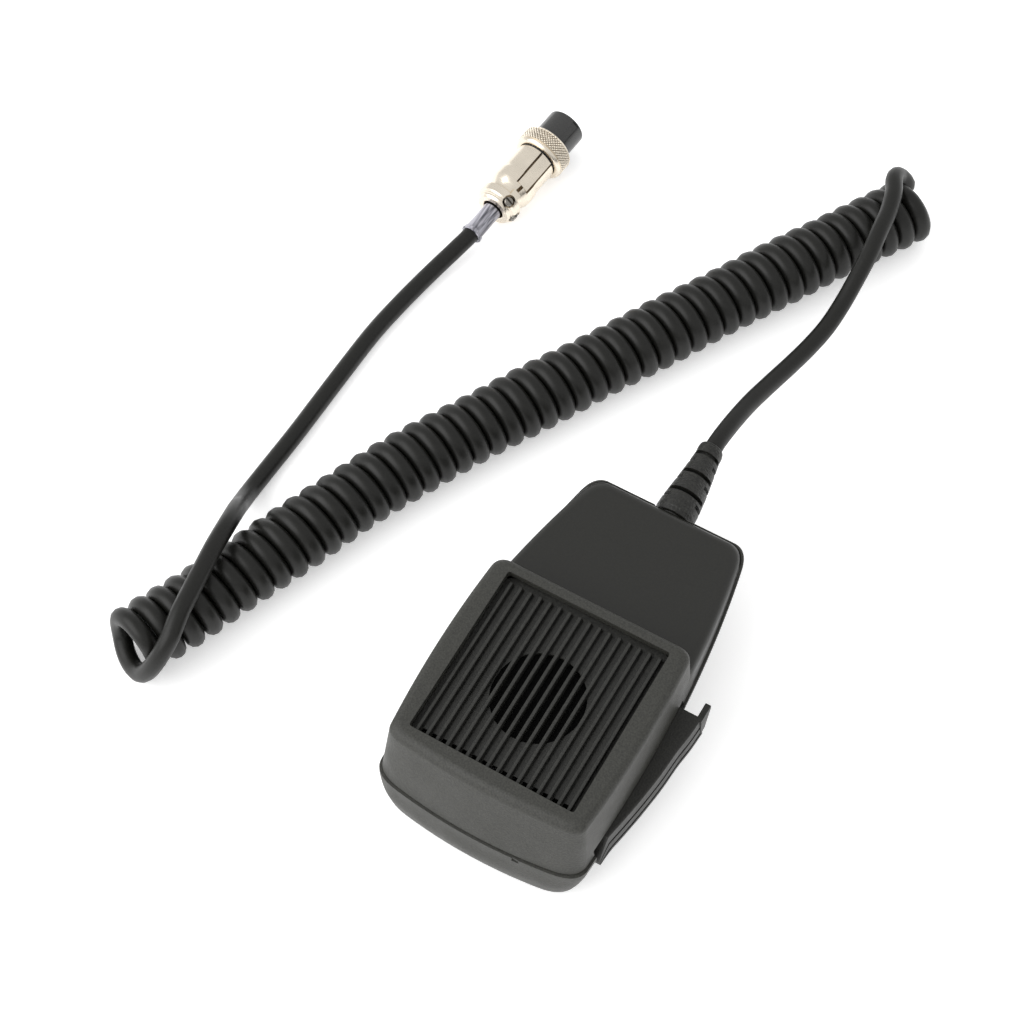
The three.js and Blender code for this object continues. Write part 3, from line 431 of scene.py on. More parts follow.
def piece(name, mesh, slot, matrix, body="handset", stands_for=(), sharp=32, soften=0.0):
    """A finished piece: its mesh placed, shaded, painted, and riding on its body."""
    thing = new_object(name, mesh, matrix)
    mesh.materials.clear()
    mesh.materials.append(MATERIALS[slot])
    mesh.polygons.foreach_set("material_index", [0] * len(mesh.polygons))
    mesh.shade_smooth()
    if soften:
        bevel = thing.modifiers.new("edges", "BEVEL")
        bevel.width = soften * MM
        bevel.segments = 2
        bevel.limit_method = "ANGLE"
        bevel.angle_limit = math.radians(sharp)
        bevel.miter_outer = "MITER_ARC"
    mesh.set_sharp_from_angle(angle=math.radians(sharp))
    weighted = thing.modifiers.new("normals", "WEIGHTED_NORMAL")
    weighted.keep_sharp = True
    weighted.weight = 80
    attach(thing, body)
    if stands_for:
        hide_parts(*stands_for)
    return thing


def paint(thing, material, chosen):
    """A second material on the chosen faces, one flag for each face."""
    thing.data.materials.append(material)
    thing.data.polygons.foreach_set("material_index", [int(flag) for flag in chosen])


# ---------------------------------------------------------------------------------------------
# Outlines and skins of the case.

# How many points an outline's stretches have, how many rings the rear skin has, and how far the
# neck's walls lean in by their top.
FOOT_POINTS, CORNER_POINTS, SIDE_POINTS, END_POINTS = 12, 14, 44, 8
REAR_STEPS = 34
NECK_INSET = 0.13


def plan(foot, bow, foot_corner, side, end, end_corner):
    """An outline's right half: foot and cord end, their corners' reach, and the side's Bezier points.

    bow is how far the ends of the foot rise above its middle.
    """
    return {
        "foot": foot,
        "bow": bow,
        "foot_corner": foot_corner,
        "side": np.array(side, float),
        "end": end,
        "end_corner": end_corner,
    }


PARTING_SIDE = [(27.4, -26.7), (29.05, 0), (27.8, 29.4), (22, 57)]
BLOCK_SIDE = [(27.4, -26.7), (28.37, -10.95), (28.33, 5.75), (26.95, 22.45)]
FACE_SIDE = [(25.9, -23), (27.4, -7.7), (27.6, 7.4), (26.5, 22.1)]
NECK_SIDE = [(26.93, 22.45), (25.99, 34.06), (24.38, 45.68), (22, 57)]
PARTING_PLAN = plan(foot=-33.5, bow=1.5, foot_corner=7, side=PARTING_SIDE, end=62.5, end_corner=5)
BLOCK_PLAN = plan(foot=-33.5, bow=1.5, foot_corner=7, side=BLOCK_SIDE, end=25.6, end_corner=4)
FACE_PLAN = plan(foot=-27.3, bow=1, foot_corner=4.5, side=FACE_SIDE, end=25.6, end_corner=4)
NECK_PLAN = plan(foot=16, bow=0, foot_corner=1, side=NECK_SIDE, end=62.5, end_corner=5)

# Height, then how far the side, foot and cord end stand out from the parting outline, and how much
# of the foot's bow is left.
REAR_RINGS = [
    (0.0, -7.5, -3.0, -5.0, 0.0),
    (0.45, -5.8, -1.3, -3.8, 0.3),
    (1.65, -4.0, 0.3, -2.5, 0.6),
    (3.7, -2.4, 1.5, -1.4, 0.8),
    (6.9, -1.2, 1.9, -0.6, 1.0),
    (12.5, 0.45, 0.8, 0.4, 1.0),
    (PARTING_Z - GAP, 0.55, 0.5, 0.5, 1.0),
]


def grown(base, side, foot=None, end=None):
    """The plan moved out at its side, foot and end, or by the same amount all round."""
    foot = side if foot is None else foot
    end = side if end is None else end
    points = base["side"].copy()
    points[:, 0] += side
    points[0, 1] -= foot
    points[3, 1] += end
    return base | {"foot": base["foot"] - foot, "end": base["end"] + end, "side": points}


def mixed_plan(a, b, share):
    return {key: a[key] + (b[key] - a[key]) * share for key in a}


def bezier(points, count):
    """count points along a Bezier curve, its last point left out."""
    t = np.linspace(0, 1, count, endpoint=False)[:, None]
    layers = [np.array(p, float) for p in points]
    while len(layers) > 1:
        layers = [a + (b - a) * t for a, b in zip(layers, layers[1:])]
    return layers[0]


def outline(base):
    """The closed outline of a plan, anticlockwise, as (n, 2)."""
    start, lower, upper, finish = base["side"]
    corner_x = start[0] - base["foot_corner"]
    rise = 2 * base["bow"] * base["foot_corner"] / corner_x
    lean = (finish[0] - upper[0]) / (finish[1] - upper[1])
    foot, bow, end = base["foot"], base["bow"], base["end"]
    end_x = finish[0] - base["end_corner"]
    stretches = [
        bezier([(0, foot), (corner_x / 2, foot), (corner_x, foot + bow)], FOOT_POINTS),
        bezier([(corner_x, foot + bow), (start[0], foot + bow + rise), start], CORNER_POINTS),
        bezier([start, lower, upper, finish], SIDE_POINTS),
        bezier([finish, (finish[0] + lean * (end - finish[1]), end), (end_x, end)], CORNER_POINTS),
        bezier([(end_x, end), (0, end)], END_POINTS),
        [(0, end)],
    ]
    right = np.concatenate(stretches)
    left = right[1:-1][::-1] * (-1, 1)
    return np.concatenate([right, left])


def ring(base, height):
    """The plan's outline at one height, or at a height worked out from y."""
    flat = outline(base)
    z = height(flat[:, 1]) if callable(height) else np.full(len(flat), height)
    return np.column_stack([flat, z])


def quarter(radius, steps=10):
    """(how far in, how far below the top) around a quarter round."""
    angles = np.linspace(0, math.pi / 2, steps + 1)
    return [(radius * (1 - math.cos(a)), radius * (1 - math.sin(a))) for a in angles]


def neck_height(drop):
    """The height of the neck's sloping top at each y, less a drop."""
    return lambda y: NECK_Z - NECK_SLOPE * (y - NECK_FROM_Y) - drop


def block_skin(offset, top, bottom, radius, lip=0.0):
    """The raised block, its walls leaning in from the parting line to the face."""

    def at(z):
        return mixed_plan(BLOCK_PLAN, FACE_PLAN, (z - PARTING_Z) / (FACE_Z - PARTING_Z))

    rings = [ring(grown(at(bottom), offset - lip), bottom)]
    if lip:
        rings.append(ring(grown(at(bottom + lip), offset), bottom + lip))
    for inset, drop in quarter(radius):
        rings.append(ring(grown(at(top - drop), offset - inset), top - drop))
    return stacked(rings)


def neck_skin(offset, below, bottom, radius, lip=0.0):
    """The neck between the block and the cord, under its sloping top."""
    rings = [ring(grown(NECK_PLAN, offset - lip), bottom)]
    if lip:
        rings.append(ring(grown(NECK_PLAN, offset), bottom + lip))
    for inset, drop in quarter(radius):
        rings.append(ring(grown(NECK_PLAN, offset - inset - NECK_INSET), neck_height(below + drop)))
    return stacked(rings)


def rear_skin(offset, floor):
    """The rear shell's skin, its few measured rings joined by a smooth curve."""
    keys = np.array(REAR_RINGS)
    along = np.concatenate([[0], np.cumsum(np.hypot(np.diff(keys[:, 0]), np.diff(keys[:, 1])))])
    wanted = np.linspace(0, along[-1], REAR_STEPS)
    smooth = np.column_stack([monotone(along, keys[:, k], wanted) for k in range(keys.shape[1])])
    rings = []
    for z, side, foot, end, bow in smooth:
        base = grown(PARTING_PLAN, side + offset, foot + offset, end + offset)
        base["bow"] = PARTING_PLAN["bow"] * bow
        rings.append(ring(base, z + floor * (1 - z / PARTING_Z)))
    return stacked(rings)


def monotone(x, y, wanted):
    """A smooth curve through the points that doesn't overshoot them."""
    slope = np.diff(y) / np.diff(x)
    tangent = np.zeros(len(y))
    tangent[1:-1] = np.where(slope[1:] * slope[:-1] > 0, (slope[1:] + slope[:-1]) / 2, 0)
    tangent[0], tangent[-1] = slope[0], slope[-1]
    cap = 3 * np.minimum(np.abs(np.append(slope, slope[-1])), np.abs(np.insert(slope, 0, slope[0])))
    tangent = np.clip(tangent, -cap, cap)
    i = np.clip(np.searchsorted(x, wanted, side="right") - 1, 0, len(x) - 2)
    width = x[i + 1] - x[i]
    t = (wanted - x[i]) / width
    return (
        (2 * t**3 - 3 * t**2 + 1) * y[i]
        + (t**3 - 2 * t**2 + t) * width * tangent[i]
        + (3 * t**2 - 2 * t**3) * y[i + 1]
        + (t**3 - t**2) * width * tangent[i + 1]
    )


def rounded_rectangle(half_x, half_y, corner, steps=6):
    """A rectangle's outline with round corners, as (n, 2)."""
    angles = np.linspace(0, math.pi / 2, steps + 1)
    points = []
    for turn, (sx, sy) in enumerate([(1, 1), (-1, 1), (-1, -1), (1, -1)]):
        for a in angles + turn * math.pi / 2:
            x = sx * (half_x - corner) + corner * math.cos(a)
            y = sy * (half_y - corner) + corner * math.sin(a)
            points.append((x, y))
    return np.array(points)


def level(points, z):
    """A flat outline as a ring at one height."""
    return np.column_stack([points, np.full(len(points), z)])


# ---------------------------------------------------------------------------------------------
# Case pieces.

OPENING_X, OPENING_Y = 21.74, 22.51
WINDOW_X, WINDOW_Y, WINDOW_Z = (20.4, 40.0), (-23.8, 19.3), (6.9, 17.1)
CASE_SCREWS = [(-17, -26), (17, -26), (-13, 51), (13, 51)]


def opening_tool():
    """Cuts the grille opening, flared at the face for its rounded rim."""
    corner, rim = 0.7, 0.45

    def opening(flare, z):
        grown_x, grown_y = OPENING_X + flare, OPENING_Y + flare
        return level(rounded_rectangle(grown_x, grown_y, corner + flare), z)

    rings = [opening(0, FACE_Z - 5), opening(0, FACE_Z - rim)]
    for inset, drop in reversed(quarter(rim, 4)):
        rings.append(opening(rim - drop, FACE_Z - inset))
    rings.append(opening(rim, FACE_Z + 1))
    return stacked(rings)


def window_tool():
    """Cuts the push-to-talk window through the side wall, with small round corners."""
    corner = 0.5
    half_y = (WINDOW_Y[1] - WINDOW_Y[0]) / 2
    half_z = (WINDOW_Z[1] - WINDOW_Z[0]) / 2
    flat = rounded_rectangle(half_y, half_z, corner, 4)
    y = flat[:, 0] + (WINDOW_Y[0] + WINDOW_Y[1]) / 2
    z = flat[:, 1] + (WINDOW_Z[0] + WINDOW_Z[1]) / 2
    return stacked([np.column_stack([np.full(len(y), x), y, z]) for x in WINDOW_X])


def along_relief(mesh, y=0.0):
    """Turns a mesh drawn along Z so that it lies along the strain relief's axis, from y on."""
    mesh.transform(Matrix.Translation((0, y, RELIEF_Z)) @ Matrix.Rotation(-math.pi / 2, 4, "X"))
    return mesh


def moved(mesh, x, y):
    mesh.transform(Matrix.Translation((x, y, 0)))
    return mesh


def front_shell():
    """Block and neck joined, hollowed, and opened for the grille and the push-to-talk bar."""
    block_edge, neck_edge, inner_edge, lip = 1.9, 2.3, 0.6, 0.25
    below = PARTING_Z - 1
    outer_block = block_skin(0, FACE_Z, PARTING_Z, block_edge, lip)
    outer = carved(outer_block, [neck_skin(0, 0, PARTING_Z, neck_edge, lip)], "UNION")
    hollows = [
        block_skin(-WALL, FACE_Z - WALL, below, inner_edge),
        neck_skin(-WALL, WALL, below, inner_edge),
    ]
    made = carved(outer, [*hollows, opening_tool(), window_tool()])
    neck_from, neck_top = BLOCK_PLAN["end"] - 0.4, NECK_Z + 1.3
    on_neck = [face.center.y > neck_from and face.center.z < neck_top for face in made.polygons]
    case = piece("front_case", made, "case", HANDSET, stands_for=["front_shell"])
    paint(case, SATIN, on_neck)


def rear_shell():
    """The back half, with the boot's way out, a notch in its lip, and four screw posts."""
    way_half, way_from, way_to = 4.5, 57, 66
    relief_way = along_relief(cylinder(way_half, way_from, way_to, 48))
    slot = block((-way_half, way_half), (way_from, way_to), (RELIEF_Z, PARTING_Z + 1))
    lip_notch = block((11.2, 13.0), (-36, -33.4), (13.0, 14.6))
    hollow_top = stacked([ring(grown(PARTING_PLAN, 0.5 - WALL), z) for z in (13.6, PARTING_Z + 1)])
    tools = [rear_skin(-WALL, WALL), hollow_top, window_tool(), relief_way, slot, lip_notch]
    well_radius, well_flare, well_floor, post_radius, post_top = 3, 3.3, 2.6, 3.5, 14.2
    well = [(0, -1), (well_flare, -1), (well_radius, 0.3), (well_radius, well_floor), (0, well_floor)]
    tools += [moved(turned(well, 40), x, y) for x, y in CASE_SCREWS]
    made = carved(rear_skin(0, 0), tools)
    posts = [
        moved(cylinder(post_radius, well_floor, post_top, 32, bore=1.5), x, y) for x, y in CASE_SCREWS
    ]
    piece("rear_case", merged([made, *posts]), "case", HANDSET, stands_for=["rear_shell"])


def grille():
    """Sixteen rounded bars over a plate with a round sound hole."""
    count, pitch, width = 16, 2.67, 0.96
    plate_half, plate_corner = (23, 23.2), 4
    plate_z, field_z, bar_z = (27.6, 28.2), (28.0, 28.5), (27.9, 30.0)
    hole_radius, hole_y, through = 11.38, -1.19, (20, 40)
    slot_half, slot_long = 0.72, 1.7
    groove_width, groove_bottom = 0.3, 28.1
    floor_y = OPENING_Y - GAP
    plate = stacked([level(rounded_rectangle(*plate_half, plate_corner, 8), z) for z in plate_z])
    field_outline = rounded_rectangle(OPENING_X - 0.9, floor_y - 0.55, 0.4)
    field = stacked([level(field_outline, z) for z in field_z])
    tools = [moved(cylinder(hole_radius, *through, 96), 0, hole_y)]
    places = [(i - (count - 1) / 2) * pitch for i in range(count)]
    for left, right in zip(places, places[1:]):
        middle = (left + right) / 2
        slot_y = (-floor_y - 0.2, slot_long - floor_y)
        tools.append(block((middle - slot_half, middle + slot_half), slot_y, through))
    for x in places:
        near = x + width / 2 + 0.02
        groove_y = (-floor_y + 0.3, floor_y - 1.3)
        tools.append(block((near, near + groove_width), groove_y, (groove_bottom, through[1])))
    base = carved(carved(plate, [field], "UNION"), tools)
    bars = [grille_bar(x, width / 2, -floor_y + 0.1, floor_y - 1.2, *bar_z) for x in places]
    piece("grille_plate", merged([base, *bars]), "grille", HANDSET, stands_for=["grille_insert"])


def grille_bar(x, half, low_y, high_y, bottom, top):
    """One bar: a rib with a slightly rounded back and rounded ends."""
    section = [(-half, bottom), (half, bottom), (half - 0.03, top - 0.2)]
    section += [(half - 0.12, top - 0.06), (half * 0.45, top), (-half * 0.45, top)]
    section += [(-half + 0.12, top - 0.06), (-half + 0.03, top - 0.2)]
    shape = np.array(section)
    rings = []
    for y, drop in ((low_y, 0.35), (low_y + 0.1, 0.1), (low_y + 0.35, 0)):
        rings.append(bar_ring(shape, x, y, drop, bottom))
    for y, drop in ((high_y - 0.35, 0), (high_y - 0.1, 0.1), (high_y, 0.35)):
        rings.append(bar_ring(shape, x, y, drop, bottom))
    return stacked(rings)


def bar_ring(shape, x, y, drop, bottom):
    """The bar's section at one y, all but its bottom lowered by drop."""
    z = np.where(shape[:, 1] > bottom, shape[:, 1] - drop, shape[:, 1])
    return np.column_stack([shape[:, 0] + x, np.full(len(shape), y), z])


# The push-to-talk bar's outer edge seen from the front, from its sloped foot to its horn.
BAR_EDGE = np.array(
    [(28.15, -23), (28.5, -19.2), (29.45, -14), (30.55, -7.5)]
    + [(31.55, 0.3), (32.1, 7.6), (32.7, 12.2), (33.05, 17.5)]
)
BAR_LOW, BAR_HIGH, BAR_FOOT_Y, BAR_END_Y = 7.4, 16.5, -23.0, 17.45
BAR_FOOT_HEIGHT, BAR_SLOPE_LONG = 1.9, 4.0
BAR_PLATE, BAR_SKIN = 1.6, 2.0
BAR_FLARE = 0.42
# How far in the plates reach, and up to where they reach less far at the foot.
BAR_INNER_X, BAR_FOOT_INNER_X, BAR_FOOT_END_Y = 24.0, 26.4, -20.5
# The grooves' middles and half width as shares of the bar's height, and their depth.
BAR_GROOVES, GROOVE_HALF, GROOVE_DEPTH = (0.42, 0.8), 0.062, 1.0


def bar_section(y, edge):
    """The U-shaped section of the bar at one y: plates at top and bottom and a grooved outer skin."""
    rise = min(1.0, max(0.0, (y - BAR_FOOT_Y) / BAR_SLOPE_LONG))
    top = BAR_LOW + BAR_FOOT_HEIGHT + (BAR_HIGH - BAR_LOW - BAR_FOOT_HEIGHT) * rise
    height = top - BAR_LOW
    plate = min(BAR_PLATE, height * 0.35)
    back = edge - BAR_SKIN
    inner = min(BAR_INNER_X if y > BAR_FOOT_END_Y else BAR_FOOT_INNER_X, back)

    def face(share, depth=0.0):
        """A point of the outer face, its share of the way down from the top."""
        return (edge + BAR_FLARE * share - depth, top - height * share)

    outer = [(edge - 0.6, top), (edge - 0.2, top - 0.08), face(0.03, 0.02)]
    half, depth = GROOVE_HALF, GROOVE_DEPTH * rise
    for share in BAR_GROOVES:
        outer += [face(share - half), face(share - half * 0.7, depth)]
        outer += [face(share + half * 0.7, depth), face(share + half)]
    outer += [face(0.965, 0.02), (edge + BAR_FLARE - 0.25, BAR_LOW + 0.05), (edge - 0.6, BAR_LOW)]
    inside = [(inner, BAR_LOW), (inner, BAR_LOW + plate), (back, BAR_LOW + plate)]
    inside += [(back, top - plate), (inner, top - plate), (inner, top)]
    return np.array([(x, y, z) for x, z in outer + inside])


def bar_horn():
    """The horn past the bar's end: its side view in y and z, with slightly rounded edges."""
    side = [(16.6, 9.0), (18.6, 9.0), (19.3, 10.6), (21.35, 14.6)]
    side = np.array([*side, (21.6, 15.4), (21.5, 16.2), (21.2, 16.35), (16.6, 16.35)])
    middle = side.mean(axis=0)
    span = np.linalg.norm(side - middle, axis=1, keepdims=True)
    rings = []
    for x, drawn_in in ((31.95, 0.12), (32.05, 0), (33.25, 0), (33.42, 0.15)):
        ring_yz = middle + (side - middle) * (1 - drawn_in / span)
        rings.append(np.column_stack([np.full(len(side), x), ring_yz]))
    return stacked(rings)


def ptt_bar():
    """The push-to-talk bar: its skin and horn, two lugs round the pivot pin, and a rib."""
    slope_end, main_from = -19, -18.4
    slope = np.linspace(BAR_FOOT_Y, slope_end, 9)
    stations = np.concatenate([slope, np.linspace(main_from, BAR_END_Y, 48)])
    edges = monotone(BAR_EDGE[:, 1], BAR_EDGE[:, 0], stations)
    skin = stacked([bar_section(y, x) for y, x in zip(stations, edges)])
    lug_radius, lug_bore = 2.8, 1.3
    lug_z = (BAR_LOW, BAR_LOW + BAR_PLATE), (BAR_HIGH - BAR_PLATE, BAR_HIGH)
    lugs = [moved(cylinder(lug_radius, *z, 32, bore=lug_bore), *PIVOT) for z in lug_z]
    rib = block((20.6, 30.6), (4, 6), (10.2, 13.1))
    made = merged([skin, bar_horn(), *lugs, rib])
    bar = piece("talk_bar", made, "case", HANDSET, "push_to_talk", ["ptt_bar"])
    # The bar is the case's plastic, painted darker as shade.
    bar.data.materials[0] = SHADED_BAR_PLASTIC


def return_spring():
    """The coil spring behind the bar, drawn at one length between the case and the bar."""
    from_x, to_x, centre_y, centre_z = 20.1, 30.1, 9.6, 12.0
    turns, rings_per_turn, wire_points = 5, 24, 10
    wire, radius, left = 0.4, 1.9, 0.76
    around = np.arange(wire_points) * 2 * np.pi / wire_points
    rings = []
    for share in np.linspace(0, 1, turns * rings_per_turn + 1):
        angle = 2 * np.pi * turns * share
        x = from_x + wire + (to_x - from_x - 2 * wire) * share
        reach = radius + wire * np.cos(around)
        y = centre_y + reach * math.cos(angle)
        z = centre_z + reach * math.sin(angle)
        rings.append(np.column_stack([x + wire * np.sin(around), y, z]))
    spring = piece("return_spring", stacked(rings), "steel", HANDSET, stands_for=["ptt_spring"])
    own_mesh(spring)


def strain_relief():
    """The tapered boot, slotted in turn at top and bottom and at its sides."""
    length = RELIEF_TO - RELIEF_FROM
    core, outside, lean = 2.4, 8.0, -0.9
    profile = [(0, -4.6), (5.4, -4.6), (5.4, -3.3), (4.2, -3.3), (4.2, 0)]
    profile += [(5.0, 0), (5.15, 1.2), (5.3, 1.5), (5.25, 4), (4.7, 9), (4.05, 14)]
    profile += [(3.35, length - 3.2), (3.4, length - 1.6), (3.15, length - 0.4)]
    profile += [(2.5, length), (0, length)]
    body = turned(rounded(profile, 0.4), 96)
    # The angle of a slot's middle, its half angle, where the first one is, their pitch, their width.
    slots = [(100, 68, 6.05, 6.2, 1.15), (8, 46, 4.1, 5.9, 1.05)]
    tools = []
    for i in range(3):
        for middle, half, first, pitch, width in slots:
            for opposite in (0, 180):
                low = first + pitch * i
                tools.append(sector(core, outside, middle + opposite, half, low, width))
    made = carved(body, tools)
    along_relief(made, RELIEF_FROM)
    drift(made, RELIEF_FROM, length, lean)
    piece("cord_boot", made, "rubber", HANDSET, stands_for=["strain_relief"], soften=0.12)


def sector(inner, outer, middle_deg, half_deg, low, width):
    """A slice of a ring about Z, drawn as a cutting tool."""
    angles = np.radians(np.linspace(middle_deg - half_deg, middle_deg + half_deg, 24))
    rim = [(outer * math.cos(a), outer * math.sin(a)) for a in angles]
    core = [(inner * math.cos(a), inner * math.sin(a)) for a in reversed(angles)]
    shape = np.array(rim + core)
    return stacked([level(shape, low), level(shape, low + width)])


def drift(mesh, start, length, sideways):
    """Leans a mesh sideways along its length, as the soft boot does, first a little the other way."""
    first = 0.3
    for vertex in mesh.vertices:
        share = max(0.0, (vertex.co.y - start) / length)
        vertex.co.x += first * share + (sideways - first) * share**2


def hang_button():
    """The hang-up button on the back: a disc on a neck."""
    low, neck_radius = -BUTTON_DEPTH, 3.25
    profile = [(0, low), (BUTTON_RADIUS, low), (BUTTON_RADIUS, low + BUTTON_DISC)]
    profile += [(neck_radius, low + BUTTON_DISC), (neck_radius, -0.15), (3.7, 0), (0, 0)]
    made = moved(turned(rounded(profile, 0.35), 72), 0, BUTTON_Y)
    piece("back_button", made, "case", HANDSET, stands_for=["hang_button"])


def case_screws():
    """The four cross-head screws in the back."""
    profile = [(0, 0.4), (2.6, 0.4), (2.6, 2.3), (1.2, 2.3), (1.2, 14), (0, 14)]
    long, narrow, deep = (-1.5, 1.5), (-0.3, 0.3), (-1, 1.5)
    for i, (x, y) in enumerate(CASE_SCREWS):
        screw = turned(rounded(profile), 40)
        made = moved(carved(screw, [block(long, narrow, deep), block(narrow, long, deep)]), x, y)
        piece(f"screw_{i + 1}", made, "steel", HANDSET, stands_for=[f"case_screw_{i + 1}"])


# ---------------------------------------------------------------------------------------------
# Plug, along +Z from the tip of the nose.

NOSE_RADIUS = 5.65
RING_RADIUS, RING_FROM, RING_TO = 7.65, 8.5, 14.4
KEY_ANGLE, KEY_HALF = 47, 1.8
SCREW_ANGLES, SCREW_S = (47, -15), 32.9


def at_key(mesh):
    """Turns a mesh drawn on +Y round the plug's axis to the key."""
    mesh.transform(Matrix.Rotation(math.radians(KEY_ANGLE - 90), 4, "Z"))
    return mesh


def along_radius(mesh, degrees):
    """Lays a mesh drawn along Z out from the plug's axis at the collar's screws."""
    turn = Matrix.Rotation(math.radians(degrees), 4, "Z") @ Matrix.Rotation(math.pi / 2, 4, "Y")
    mesh.transform(Matrix.Translation((0, 0, SCREW_S)) @ turn)
    return mesh


def plug_insert():
    """The nose moulding, with a keyway and four contact holes."""
    profile = [(0, 0), (NOSE_RADIUS, 0), (NOSE_RADIUS, RING_TO)]
    profile += [(4.4, RING_TO), (4.4, 18.4), (0, 18.4)]
    body = turned(rounded(profile), 128)
    keyway_half, keyway_deep, hole_radius, hole_circle = 1.1, 0.4, 1.2, 3
    keyway_y, keyway_z = (NOSE_RADIUS - keyway_deep, 9), (0.5, RING_FROM - 0.7)
    tools = [at_key(block((-keyway_half, keyway_half), keyway_y, keyway_z))]
    for i in range(4):
        angle = (i + 0.5) * math.pi / 2
        hole = cylinder(hole_radius, -1, 20, 24)
        tools.append(moved(hole, hole_circle * math.cos(angle), hole_circle * math.sin(angle)))
    piece("plug_nose", carved(body, tools), "bakelite", PLUG, stands_for=["plug_insert"], soften=0.1)


def knurled_ring():
    """The coupling ring, its grip pressed into small diamonds, their hollows painted dark as shade."""
    ridges, samples, knurl_rows = 25, 400, 36
    knurl_depth, knurl_steepness, shade_depth = 0.34, 1.5, 0.19
    knurl_from, knurl_to = RING_FROM + 0.6, RING_TO - 1.35
    inner = NOSE_RADIUS + 0.3
    rows = [(inner, RING_TO - 0.1), (inner, RING_TO - 2), (6.6, RING_TO - 2)]
    rows += [(6.6, RING_FROM + 0.3), (6.7, RING_FROM), (7.15, RING_FROM + 0.02)]
    rows += [(7.45, RING_FROM + 0.3), (7.5, RING_FROM + 0.5)]
    rows += [(RING_RADIUS, z) for z in np.linspace(knurl_from, knurl_to, knurl_rows)]
    rows += [(7.35, RING_TO - 1.25), (7.5, RING_TO - 1.1), (7.52, RING_TO - 0.8)]
    rows += [(7.0, RING_TO - 0.15), (6.75, RING_TO)]
    angles = np.arange(samples) * 2 * np.pi / samples
    rings = []
    for radius, z in rows:
        depth = knurl_depth if knurl_from < z < knurl_to and radius == RING_RADIUS else 0.0
        along = ridges * z / RING_RADIUS
        left = np.abs(np.sin(ridges * angles + along))
        right = np.abs(np.sin(ridges * angles - along))
        r = radius - depth * (1 - np.minimum(1, knurl_steepness * np.minimum(left, right)))
        rings.append(np.column_stack([r * np.cos(angles), r * np.sin(angles), np.full(samples, z)]))
    made = stacked([*rings, rings[0]], close=False)
    weld = bmesh.new()
    weld.from_mesh(made)
    bmesh.ops.remove_doubles(weld, verts=weld.verts, dist=1e-4)
    bmesh.ops.recalc_face_normals(weld, faces=weld.faces)
    weld.to_mesh(made)
    weld.free()
    # The knurl's faces sunk deeper than this depth get painted shade.
    painted_shade_faces = [
        math.hypot(face.center.x, face.center.y) < RING_RADIUS - shade_depth
        and knurl_from < face.center.z < knurl_to
        for face in made.polygons
    ]
    grip = piece("coupling_grip", made, "nickel", PLUG, "coupling_ring", ["plug_ring"], sharp=60)
    paint(grip, HOLLOW_SHADE, painted_shade_faces)


def plug_body():
    """The barrel, with a raised key between two seams and a slot behind it, the seams and slot painted dark as
    shade.
    """
    body_from, key_from, key_to, body_to = 14.7, 15.3, 26.8, 30.2
    narrow_seam, wide_seam, slot_half = 0.4, 0.8, 0.5
    seam_radius, slot_radius, outside = 4.75, 4.6, 8
    profile = [(4.7, body_from), (5.75, body_from), (5.95, 14.9), (5.95, 22.2), (6.05, 22.9)]
    profile += [(6.3, 23.6), (6.35, 24.4), (6.35, 26.2), (6.2, 27.1), (5.75, 28.3)]
    profile += [(5.25, 29.2), (5.2, body_to), (3.2, body_to), (3.2, 18.7), (4.7, 18.7)]
    body = turned(profile, 128)
    side = [(5.0, key_from), (6.45, key_from), (6.45, 23.5), (6.35, key_to), (5.0, key_to)]
    key = at_key(stacked([np.array([(x, y, z) for y, z in side]) for x in (-KEY_HALF, KEY_HALF)]))
    seam_y, seam_z = (seam_radius, outside), (body_from, key_to + 0.1)
    seams = [
        at_key(block((-KEY_HALF - narrow_seam, -KEY_HALF), seam_y, seam_z)),
        at_key(block((KEY_HALF, KEY_HALF + wide_seam), seam_y, seam_z)),
    ]
    slot = at_key(block((-slot_half, slot_half), (slot_radius, outside), (key_to, body_to + 0.1)))
    across = at_key(block((-KEY_HALF, KEY_HALF), (6.25, 7), (23.2, 23.45)))
    made = carved(carved(body, [*seams, slot]), [key], "UNION")
    made = carved(made, [across])
    to_key = Matrix.Rotation(math.radians(90 - KEY_ANGLE), 4, "Z")

    def is_sunk(face):
        """Whether a face is a floor or wall of a seam or of the slot."""
        spot = to_key @ face.center
        reach = math.hypot(spot.x, spot.y)
        beside_key = KEY_HALF - 0.05 < abs(spot.x) < KEY_HALF + wide_seam + 0.1
        in_seam = body_from + 0.1 < spot.z < seam_z[1] and beside_key and reach < 5.8
        in_slot = key_to < spot.z < body_to - 0.1 and abs(spot.x) < slot_half + 0.05 and reach < 5.0
        return spot.y > 0 and (in_seam or in_slot)

    # The seams' and slot's floors and walls get painted shade.
    painted_shade_faces = [is_sunk(face) for face in made.polygons]
    barrel = piece("plug_barrel", made, "nickel", PLUG, stands_for=["plug_body"])
    paint(barrel, HOLLOW_SHADE, painted_shade_faces)


